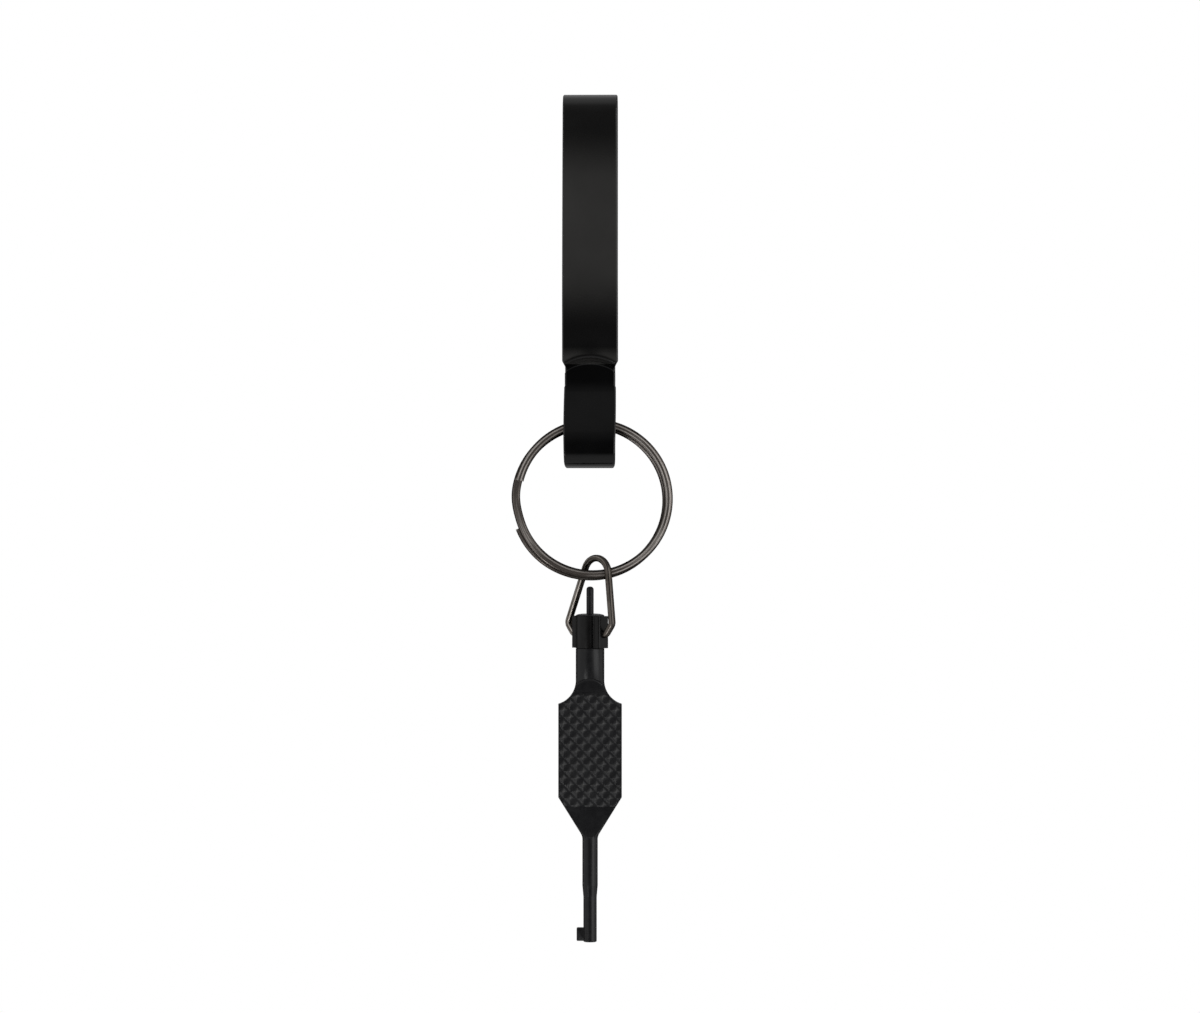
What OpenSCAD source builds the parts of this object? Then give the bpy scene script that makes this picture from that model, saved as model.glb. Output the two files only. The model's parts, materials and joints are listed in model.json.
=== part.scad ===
// Belt key clip: a bent spring-steel clip that hangs a handcuff key from a split ring and a swivel.
// Frame: X to the right, Y away from the viewer, Z up. The origin is the inner crown of the top bend,
// the point that hangs on a belt's top edge. The front of the object faces -Y. Sizes are millimetres.

/* [Belt clip] */
// Thickness of the steel strip
strip_t = 1.2; // [0.9:0.1:1.4]
// Width of the front panel and the back leg
panel_w = 13.6; // [12.5:0.1:15]
// Width of the hidden leg, the hook and the tongue
hook_w = 12.4; // [10.5:0.1:12.5]
// Clear gap of the belt pocket at its top
belt_gap = 7.6; // [6.5:0.1:10]
// Length of the front panel from the top bend to the joggle
panel_len = 59.6; // [50:0.5:66]
// Length of the back leg below the top bend
back_len = 55; // [40:0.5:58]
// Radius of the round end of the back leg, seen from behind
back_end_r = 10; // [8:0.1:16]
// Angle by which the panel first bows outwards
bow_out = 1.5; // [0.5:0.1:2]
// Angle by which the panel leans inwards at its lower end
bow_in = 3.5; // [2.5:0.1:4]
// Slant of the joggle under the panel
joggle_angle = 45; // [35:1:55]
// Bend radius of the joggle at the middle of the strip
joggle_r = 1.2; // [0.9:0.1:1.4]
// Depth of the panel's edge below the start of the joggle
panel_edge_drop = 0.35; // [0.2:0.05:0.6]
// Height of the arch in the panel's lower edge
panel_arch_h = 1.4; // [0.8:0.1:1.8]

/* [Hook] */
// Drop from the start of the joggle to the centre of the bottom bend
hook_drop = 23.7; // [23:0.1:26]
// Play of the ring on each side at the widest part of the hook
hook_play = 1.42; // [1.3:0.02:1.6]
// Play of the ring on each side where it hangs in the hook
throat_play = 0.6; // [0.5:0.02:0.8]
// Backward lean of the tongue
tongue_lean = 26; // [24:0.5:28]
// Bend radius of the tongue at the middle of the strip
tongue_r = 8; // [6:0.5:9]
// Straight rise of the tongue above the bottom bend
tongue_rise = 0.8; // [0.4:0.1:1.2]
// Gap between the tip of the tongue and the hidden leg
tip_gap = 0.25; // [0.2:0.05:0.4]
// Height of the joggle that shows between the panel's edge and the tongue's tip
tip_reveal = 1.9; // [1.8:0.1:3]
// Radius of the round tip of the tongue, seen from the front
tip_r = 10.8; // [8:0.1:14]

/* [Split ring] */
// Outer diameter of the ring
ring_d = 40; // [38:0.5:44]
// Radial width of the ring's wire
coil_w = 2.3; // [1.8:0.1:2.4]
// Thickness of one turn of the wire
coil_t = 1.1; // [0.9:0.05:1.15]
// Gap between the two turns
coil_gap = 0.5; // [0.45:0.05:0.6]
// Width of the sloping edges of the wire
coil_bevel = 0.4; // [0.3:0.05:0.5]
// Offset of the ring to the right of the clip's middle
ring_offset = 0.5; // [0:0.1:0.8]
// Angle of the wire's back end, counted from the right
ring_end_angle = 201; // [190:1:215]
// Angle over which the wire crosses from the back turn to the front turn
ring_cross_angle = 35; // [25:1:45]

/* [Swivel bail] */
// Diameter of the bail's wire
bail_wire_d = 1.65; // [1.4:0.05:1.7]
// Radius of the arch at the middle of the wire
arch_r = 3.9; // [3.85:0.05:4.4]
// Height of the arch's top above the pivot, at the middle of the wire
bail_h = 18.8; // [18:0.1:21]
// Sideways lean of the arch
arch_shift = 2.1; // [1.9:0.05:2.3]
// Height of the bail's corners above the pivot
corner_h = 2.6; // [2.2:0.1:3.2]
// Reach of the corners beyond the bail's feet
corner_reach = 2; // [1.7:0.1:2.4]
// Bend radius of the wire at the corners
corner_r = 1.6; // [1.3:0.1:1.8]
// Bend radius of the wire next to the ears
foot_r = 1.2; // [1:0.05:1.3]
// Turn of the bail's plane about the key's axis
bail_turn = 40; // [38:1:44]
// Clear height between the ring's wire and the top of the arch
arch_play = 2.5; // [2.2:0.1:4]

/* [Swivel collar] */
// Height of the collar
collar_h = 7.9; // [6.5:0.1:9]
// Wall of the collar
collar_wall = 1; // [0.8:0.05:1.2]
// Reach of each ear beyond the collar's round wall
ear_reach = 1; // [0.8:0.05:1.5]
// Width of each ear
ear_w = 3.7; // [3.2:0.1:4.5]
// Drop of the holes in the ears below the middle of the collar
ear_hole_drop = 0.55; // [0:0.05:1]
// Width of the collar's seam
seam_w = 0.4; // [0.3:0.05:0.6]
// Turn of the seam from the collar's front towards its right ear
seam_angle = 50; // [45:1:54]
// Radial clearance of the bail's feet in the ears
foot_clearance = 0.06; // [0.03:0.01:0.1]
// Radial clearance of the collar on the key
collar_clearance = 0.08; // [0.05:0.01:0.1]
// Clearance at each end of the collar
collar_end_play = 0.06; // [0.04:0.01:0.15]

/* [Key neck and pin] */
// Diameter of the key's neck
neck_d = 7.06; // [6.9:0.05:7.4]
// Diameter of the groove under the collar
groove_d = 5; // [4.6:0.1:5.2]
// Thickness of the head above the collar
head_t = 0.5; // [0.4:0.05:0.8]
// Length of the neck from the collar to the foot of the neck
neck_len = 9.65; // [9:0.05:13]
// Diameter of the double-lock pin
pin_d = 1.8; // [1.5:0.05:2]
// Length of the pin above the head
pin_len = 6.7; // [4:0.1:6.9]
// Depth of the pin in the neck
pin_seat = 5; // [3:0.1:7]
// Width of the sloping edges of the head and the tip
key_edge = 0.3; // [0.2:0.05:0.35]

/* [Key grip] */
// Thickness of the grip
grip_t = 3.2; // [2.8:0.1:3.4]
// Width of the grip
grip_w = 15.7; // [13:0.1:17]
// Height of the straight sides of the grip
grip_h = 23.1; // [20:0.1:28]
// Height of the shoulders between the neck and the grip's sides
shoulder_h = 4.1; // [3.5:0.1:5.5]
// Radius of the hollow at the foot of the neck
shoulder_r = 3; // [1.5:0.1:3.2]
// Height of the taper from the grip's sides to the shank
taper_h = 9.6; // [8:0.1:12]
// Radius of the hollow between the taper and the shank
taper_r = 3; // [1:0.1:4]
// Height of the knurled field above the grip's face
knurl_h = 0.25; // [0.2:0.05:0.4]
// Margin of the knurled field along the grip's outline
knurl_margin = 0.3; // [0.2:0.05:0.8]
// Reach of the knurled field past the ends of the grip's straight sides
knurl_over = 2.3; // [1:0.1:2.8]
// Radius of the cutter that ends the grip's flats on the neck
runout_r = 4.2; // [4:0.1:5]
// Height of the flats' round end above the foot of the neck
runout_h = 2.3; // [2:0.1:3]

/* [Key shank and bit] */
// Diameter of the shank
shank_d = 3.8; // [3.6:0.05:4]
// Length of the shank's thick part below the grip
shank_len = 12.1; // [8:0.1:16]
// Diameter of the shank's thin end
tip_d = 3.3; // [3.2:0.05:3.5]
// Length of the cone between the two diameters
cone_len = 2.9; // [1:0.1:4]
// Length of the thin end
tip_len = 11.1; // [9:0.1:14]
// Diameter of the hole for the lock's post
post_hole_d = 2; // [1.8:0.05:2.2]
// Depth of the hole for the lock's post
post_hole_len = 7; // [4:0.1:8]
// Reach of the bit from the key's axis
bit_reach = 3.3; // [2.8:0.1:4]
// Height of the bit
bit_h = 3.2; // [2.5:0.1:4]
// Thickness of the bit
bit_t = 1.6; // [1.2:0.1:1.9]
// Height of the bit above the end of the shank
bit_lift = 0.3; // [0.3:0.1:0.8]

/* [Hidden] */
// Overrun of every cut past the face it leaves
cut = 0.5;
// Widest angle of one step in the strip's bends and in the bail's bends
bend_step = 6;
wire_step = 13;
// Sides of the bail's wire, and how far its ends are drawn in where they enter the feet
wire_sides = 16;
drawn_in_share = 0.8;
// Overlap of joined pieces of one solid
join = 0.2;
// Height of the ring's swing axis below the middle of its wire
swing_drop = 0.55;
// Shift of the ring out of the hook's middle, towards the hidden leg
swing_shift = 0.12;
// Straight length of the bail's feet outside the ears
foot_out = 0.1;

// One move of a centreline: [length, 0] runs straight, [radius, turn] bends to the left
function after(s, m) = m[1] == 0 ?
    [s[0] + m[0] * cos(s[2]), s[1] + m[0] * sin(s[2]), s[2]] :
    let (side = sign(m[1]), h = s[2] + m[1])
    [s[0] + side * m[0] * (sin(h) - sin(s[2])), s[1] - side * m[0] * (cos(h) - cos(s[2])), h];
function walked(s, moves, i = 0) = i == len(moves) ? [s] :
    concat([s], walked(after(s, moves[i]), moves, i + 1));
function arrived(s, moves) = walked(s, moves)[len(moves)];
function reversed(list) = [for (i = [len(list) - 1:-1:0]) list[i]];
// The same moves with every bend cut into steps no wider than the given angle
function fine(moves, step) = [for (m = moves)
    let (n = m[1] == 0 ? 1 : ceil(abs(m[1]) / step))
    for (k = [1:n]) [m[0], m[1] / n]];

// Half sizes of the ring's wire, and the farthest corner of its section from the swing axis
coil_half_w = coil_w / 2;
ring_half_t = coil_t + coil_gap / 2;
ring_mid_r = ring_d / 2 - coil_half_w;
ring_reach = norm([ring_half_t, swing_drop + coil_half_w - coil_bevel]);

// Clip: the centreline runs from the free end of the back leg over the top bend to the tongue's tip
bend_r = (belt_gap + strip_t) / 2;
bow = bow_out + bow_in;
bow_r = panel_len / (bow * PI / 180);
clip_start = [bend_r, -belt_gap / 2 - back_len, 90];
panel_moves = [[back_len, 0], [bend_r, 180 - bow_out], [bow_r, bow]];
panel_end = arrived(clip_start, panel_moves);
panel_crown_z = panel_end[1] - panel_edge_drop;
panel_arch_r = (panel_w * panel_w / 4 + panel_arch_h * panel_arch_h) / (2 * panel_arch_h);

joggle_step = strip_t + tip_gap;
joggle_web = (joggle_step - 2 * joggle_r * (1 - cos(joggle_angle))) / sin(joggle_angle);
joggle_moves = [[joggle_r, joggle_angle - bow_in], [joggle_web, 0], [joggle_r, -joggle_angle]];
joggle_end = arrived(panel_end, joggle_moves);

hook_gap = 2 * (ring_reach + hook_play);
hook_r = (hook_gap + strip_t) / 2;
bend_z = panel_end[1] - hook_drop;
tongue_base_z = bend_z + tongue_rise;
tongue_slope = (hook_gap - tip_gap - 2 * tongue_r * (1 - cos(tongue_lean))) / sin(tongue_lean);
tongue_top_z = tongue_base_z + 2 * tongue_r * sin(tongue_lean) + tongue_slope * cos(tongue_lean);
tip_z = panel_crown_z - tip_reveal;
hook_moves = [[joggle_end[1] - bend_z, 0], [hook_r, -180], [tongue_rise, 0], [tongue_r, -tongue_lean],
    [tongue_slope, 0], [tongue_r, tongue_lean], [tip_z - tongue_top_z, 0]];
tongue_y = arrived(joggle_end, hook_moves)[0];

// Ring: it hangs where the sloping tongue leaves it the throat play on each side
leg_front = joggle_end[0] - strip_t / 2;
slope_z = tongue_base_z + tongue_r * sin(tongue_lean);
slope_gap = hook_gap - tongue_r * (1 - cos(tongue_lean));
throat_gap = 2 * (ring_reach + throat_play);
swing_z = slope_z + (slope_gap - throat_gap) / tan(tongue_lean);
swing_y = leg_front - throat_gap / 2 + swing_shift;
ring_z = swing_z + swing_drop - ring_mid_r;
bail_z = ring_z - ring_mid_r;

// Bail: its pivot lies under the ring's lowest point, and the key hangs from that pivot
pivot_z = bail_z + coil_half_w + arch_play + bail_wire_d / 2 - bail_h;
key_y = swing_y + arch_shift * sin(bail_turn);
collar_r_in = groove_d / 2 + collar_clearance;
collar_r_out = collar_r_in + collar_wall;
ear_u = collar_r_out + ear_reach;
foot_in = collar_r_in + collar_wall / 2;
foot_end = ear_u + foot_out / 2;
rise_angle = atan2(corner_h, corner_reach);
foot_u = ear_u + foot_out + trim(foot_r, rise_angle);
corner_u = foot_u + corner_reach;

// Key: heights down from the collar
collar_top = pivot_z + ear_hole_drop + collar_h / 2;
head_z = collar_top + collar_end_play;
groove_z = collar_top - collar_h - collar_end_play;
neck_z = groove_z - neck_len;
shoulder_z = neck_z - shoulder_h;
side_z = shoulder_z - grip_h;
shank_z = side_z - taper_h;
cone_z = shank_z - shank_len;
thin_z = cone_z - cone_len;
end_z = thin_z - tip_len;
neck_r = neck_d / 2;
grip_half_w = grip_w / 2;
shank_r = shank_d / 2;

echo("hook: joggle starts", panel_end, "ends", joggle_end, "bend", bend_z, "gap", hook_gap, "tip", tip_z);
echo("swing axis", swing_y, swing_z, "ring centre", ring_z, "bail axis", bail_z, "pivot", key_y, pivot_z);
echo("key heights", head_z, groove_z, neck_z, shoulder_z, side_z, shank_z, cone_z, thin_z, end_z);

// Both faces of the strip along a list of places, as one closed outline
function strip_outline(places) = concat(
    [for (p = places) [p[0] - strip_t / 2 * sin(p[2]), p[1] + strip_t / 2 * cos(p[2])]],
    reversed([for (p = places) [p[0] + strip_t / 2 * sin(p[2]), p[1] - strip_t / 2 * cos(p[2])]]));

// Extrudes an outline drawn in the YZ plane over the given width
module across(w) {
    rotate([90, 0, 90])
        linear_extrude(w, center = true)
            children();
}

// A round disc of radius r with its crown at height z, between two values of Y
module arch_disc(r, z, y_low, y_high) {
    translate([0, y_high, z - r])
        rotate([90, 0, 0])
            cylinder(r = r, h = y_high - y_low, $fn = 180);
}

// Everything above such a disc's upper edge, over the strip's width
module above_arch(r, z, y_low, y_high) {
    difference() {
        translate([-hook_w, y_low, z - r])
            cube([2 * hook_w, y_high - y_low, r + cut]);
        arch_disc(r, z, y_low - cut, y_high + cut);
    }
}

module belt_clip() color("#1d1d1f") {
    edge = [[panel_edge_drop + panel_arch_h, 0]];
    panel_places = walked(clip_start, fine(concat(panel_moves, edge), bend_step));
    hook_places = walked(panel_end, fine(concat(joggle_moves, hook_moves), bend_step));
    // The wide panel and back leg, with the arched edge above the joggle
    difference() {
        across(panel_w)
            polygon(strip_outline(panel_places));
        arch_disc(panel_arch_r, panel_crown_z, panel_end[0] - strip_t, panel_end[0] + strip_t);
        translate([0, 0, 2 * clip_start[1]])
            mirror([0, 0, 1])
                above_arch(back_end_r, clip_start[1], belt_gap / 2 - cut, bend_r + strip_t);
    }
    // The narrower joggle, leg, hook and tongue, rooted in the middle of the panel's thickness
    difference() {
        across(hook_w)
            polygon(concat([[for (i = [0, 1]) after(panel_end, [-join, 0])[i]]],
                strip_outline([for (i = [1:len(hook_places) - 1]) hook_places[i]])));
        above_arch(tip_r, tip_z, tongue_y - strip_t, tongue_y + (strip_t + tip_gap) / 2);
    }
}

// Split ring: one wire of two turns that crosses from the back turn to the front turn
turn_steps = 22;
cross_steps = 3;
turn_angle = 360 - ring_cross_angle;
function eased(s) = s * s * (3 - 2 * s);
ring_places = concat(
    [for (k = [0:turn_steps]) [ring_end_angle + k * turn_angle / turn_steps, 1]],
    [for (k = [1:cross_steps]) [ring_end_angle + turn_angle + k * ring_cross_angle / cross_steps,
        1 - 2 * eased(k / cross_steps)]],
    [for (k = [1:turn_steps]) [ring_end_angle + 360 + k * turn_angle / turn_steps, -1]]);
coil_section = [[-coil_half_w, 0], [coil_bevel - coil_half_w, -coil_t / 2],
    [coil_half_w - coil_bevel, -coil_t / 2], [coil_half_w, 0],
    [coil_half_w - coil_bevel, coil_t / 2], [coil_bevel - coil_half_w, coil_t / 2]];
function ring_points(p) = [for (q = coil_section)
    [ring_offset + (ring_mid_r + q[0]) * cos(p[0]),
        swing_y + p[1] * (coil_t + coil_gap) / 2 + q[1],
        ring_z + (ring_mid_r + q[0]) * sin(p[0])]];
ring_mesh = [for (p = ring_places) ring_points(p)];
// Points of one turn against those half a turn or more further along the wire
half_turn = turn_steps / 2;
ring_least_gap = min([for (i = [half_turn:len(ring_mesh) - 1], j = [0:i - half_turn])
    min([for (p = ring_mesh[i], q = ring_mesh[j]) norm(p - q)])]);
echo("least gap of the split ring's wire to itself", ring_least_gap);

// A solid skinned over a row of closed sections that have equally many points
module skinned(sections) {
    n = len(sections);
    sides = len(sections[0]);
    faces = concat(
        [[for (k = [0:sides - 1]) k]],
        [[for (k = [sides - 1:-1:0]) (n - 1) * sides + k]],
        [for (i = [0:n - 2], k = [0:sides - 1], half = [0, 1])
            let (a = i * sides + k, b = i * sides + (k + 1) % sides)
            half == 0 ? [a, a + sides, b] : [b, a + sides, b + sides]]);
    polyhedron(points = [for (r = sections, p = r) p], faces = faces, convexity = 4);
}

module split_ring() color("#7b7068")
    skinned(ring_mesh);

// Bail: each leg runs from a corner to touch the arch's circle
function trim(r, turn) = r * tan(turn / 2);
function leg_line(shift) = [shift - corner_u, bail_h - arch_r - corner_h];
function leg_heading(v) = atan2(v[1], v[0]) - asin(arch_r / norm(v));
function leg_length(v) = sqrt(v * v - arch_r * arch_r);
function foot_moves(shift) = let (
        v = leg_line(shift),
        turn = leg_heading(v) - rise_angle)
    [[foot_r, rise_angle],
        [norm([corner_reach, corner_h]) - trim(foot_r, rise_angle) - trim(corner_r, turn), 0],
        [corner_r, turn],
        [leg_length(v) - trim(corner_r, turn), 0]];
arch_turn = 360 - leg_heading(leg_line(arch_shift)) - leg_heading(leg_line(-arch_shift));
bail_moves = concat(foot_moves(arch_shift), [[arch_r, arch_turn]], reversed(foot_moves(-arch_shift)));

// Sections of the bent wire in the bail's plane; the first and last are drawn in, inside the feet
function wire_section(p, r) = [for (k = [0:wire_sides - 1])
    let (a = k * 360 / wire_sides)
    [p[0] - r * cos(a) * sin(p[2]), -r * sin(a), p[1] + r * cos(a) * cos(p[2])]];
wire_places = walked([ear_u + foot_out, 0, 0], fine(bail_moves, wire_step));
bail_mesh = concat(
    [wire_section([foot_end - join, 0, 0], drawn_in_share * bail_wire_d / 2)],
    [for (p = wire_places) wire_section(p, bail_wire_d / 2)],
    [wire_section([join - foot_end, 0, 360], drawn_in_share * bail_wire_d / 2)]);

// Places what is drawn about the bail's pivot, turned with the bail
module at_pivot() {
    translate([0, key_y, pivot_z])
        rotate([0, 0, -bail_turn])
            children();
}

module swivel_bail() color("#8a7f76")
    at_pivot() {
        for (m = [0, 1])
            mirror([m, 0, 0])
                translate([foot_in, 0, 0])
                    rotate([0, 90, 0])
                        cylinder(d = bail_wire_d, h = foot_end - foot_in, $fn = 64);
        skinned(bail_mesh);
    }

module swivel_collar() color("#262628")
    at_pivot()
        difference() {
            translate([0, 0, collar_top - pivot_z - collar_h])
                union() {
                    cylinder(r = collar_r_out, h = collar_h, $fn = 120);
                    translate([-ear_u, -ear_w / 2, 0])
                        cube([2 * ear_u, ear_w, collar_h]);
                }
            translate([0, 0, -collar_h])
                cylinder(r = collar_r_in, h = 2 * collar_h, $fn = 120);
            translate([-ear_u - cut, 0, 0])
                rotate([0, 90, 0])
                    cylinder(d = bail_wire_d + 2 * foot_clearance, h = 2 * (ear_u + cut), $fn = 64);
            rotate([0, 0, seam_angle])
                translate([-seam_w / 2, -ear_u, -collar_h])
                    cube([seam_w, ear_u, 2 * collar_h]);
        }

// Fills the inner corner b of an outline between a and c with a hollow of radius r
module hollow_corner(a, b, c, r) {
    u = (a - b) / norm(a - b);
    v = (c - b) / norm(c - b);
    half = acos(u * v) / 2;
    reach = r / tan(half);
    difference() {
        polygon([b + u * reach, b, b + v * reach]);
        translate(b + (u + v) / norm(u + v) * r / sin(half))
            circle(r = r, $fn = 120);
    }
}

// Half outline of the turned grip from the neck to the shank, beside the key's axis
module grip_outline() {
    neck_top = [neck_r, neck_z + runout_h];
    neck_foot = [neck_r, neck_z];
    shoulder = [grip_half_w, shoulder_z];
    side = [grip_half_w, side_z];
    shank_top = [shank_r, shank_z];
    shank_foot = [shank_r, shank_z - taper_r];
    polygon([[0, neck_top[1]], neck_top, neck_foot, shoulder, side, shank_top, shank_foot,
        [0, shank_foot[1]]]);
    hollow_corner(neck_top, neck_foot, shoulder, shoulder_r);
    hollow_corner(side, shank_top, shank_foot, taper_r);
}

// The turned grip, cut flat on both sides to the given thickness
module flat_grip(t) {
    intersection() {
        rotate_extrude($fn = 180)
            grip_outline();
        translate([-grip_w, -t / 2, shank_z - grip_h])
            cube([2 * grip_w, t, 3 * grip_h]);
    }
}

// Outline of the knurled field
module knurl_outline() {
    top_share = knurl_over / shoulder_h;
    end_share = knurl_over / taper_h;
    right = [
        [grip_half_w - top_share * (grip_half_w - neck_r) - knurl_margin, shoulder_z + knurl_over],
        [grip_half_w - knurl_margin, shoulder_z],
        [grip_half_w - knurl_margin, side_z],
        [grip_half_w - end_share * (grip_half_w - shank_r) - knurl_margin, side_z - knurl_over]];
    polygon(concat(right, [for (p = reversed(right)) [-p[0], p[1]]]));
}

// Extrudes an outline drawn in the front view to a plate of the given thickness
module plate(t) {
    translate([0, t / 2, 0])
        rotate([90, 0, 0])
            linear_extrude(t)
                children();
}

module neck() {
    translate([0, 0, head_z + head_t - key_edge])
        cylinder(d1 = neck_d, d2 = neck_d - 2 * key_edge, h = key_edge, $fn = 120);
    translate([0, 0, head_z])
        cylinder(d = neck_d, h = head_t - key_edge, $fn = 120);
    translate([0, 0, groove_z - join])
        cylinder(d = groove_d, h = head_z - groove_z + 2 * join, $fn = 120);
    difference() {
        translate([0, 0, neck_z])
            cylinder(d = neck_d, h = neck_len, $fn = 120);
        arch_disc(runout_r, neck_z + runout_h, grip_t / 2, neck_d);
        arch_disc(runout_r, neck_z + runout_h, -neck_d, -grip_t / 2);
    }
}

module shank() {
    translate([0, 0, cone_z])
        cylinder(d = shank_d, h = shank_len, $fn = 120);
    translate([0, 0, thin_z])
        cylinder(d1 = tip_d, d2 = shank_d, h = cone_len, $fn = 120);
    translate([0, 0, end_z + key_edge])
        cylinder(d = tip_d, h = tip_len - key_edge, $fn = 120);
    translate([0, 0, end_z])
        cylinder(d1 = tip_d - 2 * key_edge, d2 = tip_d, h = key_edge, $fn = 120);
    translate([-bit_reach, -bit_t / 2, end_z + bit_lift])
        cube([bit_reach, bit_t, bit_h]);
}

module key_body() color("#2c2c2e")
    translate([0, key_y, 0])
        difference() {
            union() {
                neck();
                flat_grip(grip_t);
                intersection() {
                    flat_grip(grip_t + 2 * knurl_h);
                    plate(grip_t + 2 * knurl_h)
                        knurl_outline();
                }
                shank();
            }
            translate([0, 0, head_z + head_t - pin_seat])
                cylinder(d = pin_d, h = pin_seat + cut, $fn = 64);
            translate([0, 0, end_z - cut])
                cylinder(d = post_hole_d, h = post_hole_len + cut, $fn = 64);
        }

module lock_pin() color("#2f2f31")
    translate([0, key_y, head_z + head_t - pin_seat]) {
        cylinder(d = pin_d, h = pin_seat + pin_len - pin_d / 2, $fn = 64);
        translate([0, 0, pin_seat + pin_len - pin_d / 2])
            sphere(d = pin_d, $fn = 64);
    }

belt_clip();
split_ring();
swivel_bail();
swivel_collar();
key_body();
lock_pin();
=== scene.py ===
"""Looks of a belt key clip: a black spring clip, a split ring, a wire swivel and a knurled handcuff key.

Every piece is modelled in metres in the CAD frame: X to the viewer's right, Y away from the viewer and Z up,
with the origin at the inner crown of the clip's top bend. Angles are in degrees.
"""

import json
import logging
import math
from dataclasses import dataclass, field
from enum import Enum
from functools import reduce
from typing import Callable, ClassVar, Sequence

import bmesh
import bpy
from mathutils import Matrix, Vector


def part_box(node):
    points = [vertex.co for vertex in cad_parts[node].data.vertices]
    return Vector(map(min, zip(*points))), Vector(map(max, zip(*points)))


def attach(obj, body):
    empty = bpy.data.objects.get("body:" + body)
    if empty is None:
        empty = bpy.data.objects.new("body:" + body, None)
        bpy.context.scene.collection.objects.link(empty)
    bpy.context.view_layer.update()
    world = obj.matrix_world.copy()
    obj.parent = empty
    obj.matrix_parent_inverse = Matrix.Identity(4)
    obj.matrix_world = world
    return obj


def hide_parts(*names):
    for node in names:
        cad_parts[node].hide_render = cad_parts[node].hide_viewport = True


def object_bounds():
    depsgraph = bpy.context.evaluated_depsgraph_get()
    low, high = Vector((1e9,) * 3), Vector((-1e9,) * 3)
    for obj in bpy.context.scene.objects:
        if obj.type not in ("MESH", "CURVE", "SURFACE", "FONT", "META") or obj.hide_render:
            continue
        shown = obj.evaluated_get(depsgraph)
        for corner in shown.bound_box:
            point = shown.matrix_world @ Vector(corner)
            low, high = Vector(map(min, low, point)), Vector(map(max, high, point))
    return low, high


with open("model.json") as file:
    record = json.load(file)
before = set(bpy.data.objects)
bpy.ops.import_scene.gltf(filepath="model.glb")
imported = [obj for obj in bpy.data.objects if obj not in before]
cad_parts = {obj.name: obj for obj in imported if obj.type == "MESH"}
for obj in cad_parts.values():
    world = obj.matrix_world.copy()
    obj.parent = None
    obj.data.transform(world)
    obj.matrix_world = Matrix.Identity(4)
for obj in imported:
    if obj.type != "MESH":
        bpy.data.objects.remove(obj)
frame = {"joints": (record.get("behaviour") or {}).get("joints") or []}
CAD_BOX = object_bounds()

LOG = logging.getLogger("belt_key_clip")
MM = 0.001
ROUNDING = 1e-9
WHITE = (1.0, 1.0, 1.0, 1.0)
Point2 = tuple[float, float]
Corner = tuple[float, float, float]
Colour = tuple[float, float, float]
Placing = Callable[[float, float, float], Vector]
Piece = bpy.types.Object
Socket = bpy.types.NodeSocket


class Body(Enum):
    """Bodies of the CAD model that the pieces ride on."""

    CLIP = "clip"
    RING = "ring"
    BAIL = "bail"
    COLLAR = "collar"
    KEY = "key"


class Slot(Enum):
    """Material slots of the record."""

    CLIP = "clip_steel"
    RING = "ring_steel"
    BAIL = "bail_steel"
    COLLAR = "collar_steel"
    KEY = "key_steel"
    PIN = "pin_steel"


class Carving(Enum):
    """Ways to work a piece with a tool."""

    CUT = "DIFFERENCE"
    ADD = "UNION"
    KEEP = "INTERSECT"


def joint_place(name: str) -> Vector:
    """Return a point, in metres, on the axis of a joint."""
    return Vector(next(j["pos_m"] for j in frame["joints"] if j["name"] == name))


def eased(share: float) -> float:
    """Return a smooth step from 0 to 1 for a share of the way."""
    share = min(max(share, 0.0), 1.0)
    return share * share * share * (share * (6 * share - 15) + 10)


def spread(low: float, high: float, step: float) -> list[float]:
    """Return even values from one to another, both among them, that lie a step apart at most."""
    count = max(1, math.ceil(abs(high - low) / step - ROUNDING))
    return [low + (high - low) * k / count for k in range(count + 1)]


def polar(radius: float, angle: float) -> Point2:
    """Return the point at a radius and an angle."""
    return radius * math.cos(math.radians(angle)), radius * math.sin(math.radians(angle))


def circle(radius: float, sides: int) -> list[Point2]:
    """Return the evenly spaced points of a circle."""
    return [(radius * math.cos(math.tau * k / sides), radius * math.sin(math.tau * k / sides))
            for k in range(sides)]


def rounded(corners: Sequence[Corner], closed: bool, steps: int = 6) -> list[Point2]:
    """Round the corners of an outline with arcs.

    Args:
        corners: Corner points, each with the radius it is rounded to.
        closed: Whether the last corner joins the first.
        steps: Straight pieces in each arc.

    Returns:
        The outline's points.
    """
    outline: list[Point2] = []
    count = len(corners)
    for i, (x, y, radius) in enumerate(corners):
        at_end = not closed and i in (0, count - 1)
        here = Vector((x, y))
        if radius <= 0 or at_end:
            outline.append((x, y))
            continue
        before = (Vector(corners[i - 1][:2]) - here).normalized()
        after = (Vector(corners[(i + 1) % count][:2]) - here).normalized()
        half = math.acos(max(-1.0, min(1.0, before.dot(after)))) / 2
        centre = here + (before + after).normalized() * radius / math.sin(half)
        first = here + before * radius / math.tan(half) - centre
        last = here + after * radius / math.tan(half) - centre
        turn = first.angle_signed(last)
        for k in range(steps + 1):
            arm = first.copy()
            arm.rotate(Matrix.Rotation(-turn * k / steps, 2))
            outline.append(tuple(centre + arm))
    return outline


def add_object(name: str, data: bpy.types.ID) -> Piece:
    """Link a new object.

    Args:
        name: The object's name.
        data: Its mesh, curve, lamp or camera.

    Returns:
        The linked object.
    """
    piece = bpy.data.objects.new(name, data)
    bpy.context.scene.collection.objects.link(piece)
    return piece


def discard(piece: Piece) -> None:
    """Remove an object and its mesh.

    Args:
        piece: The object.
    """
    mesh = piece.data
    bpy.data.objects.remove(piece)
    bpy.data.meshes.remove(mesh)


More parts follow.
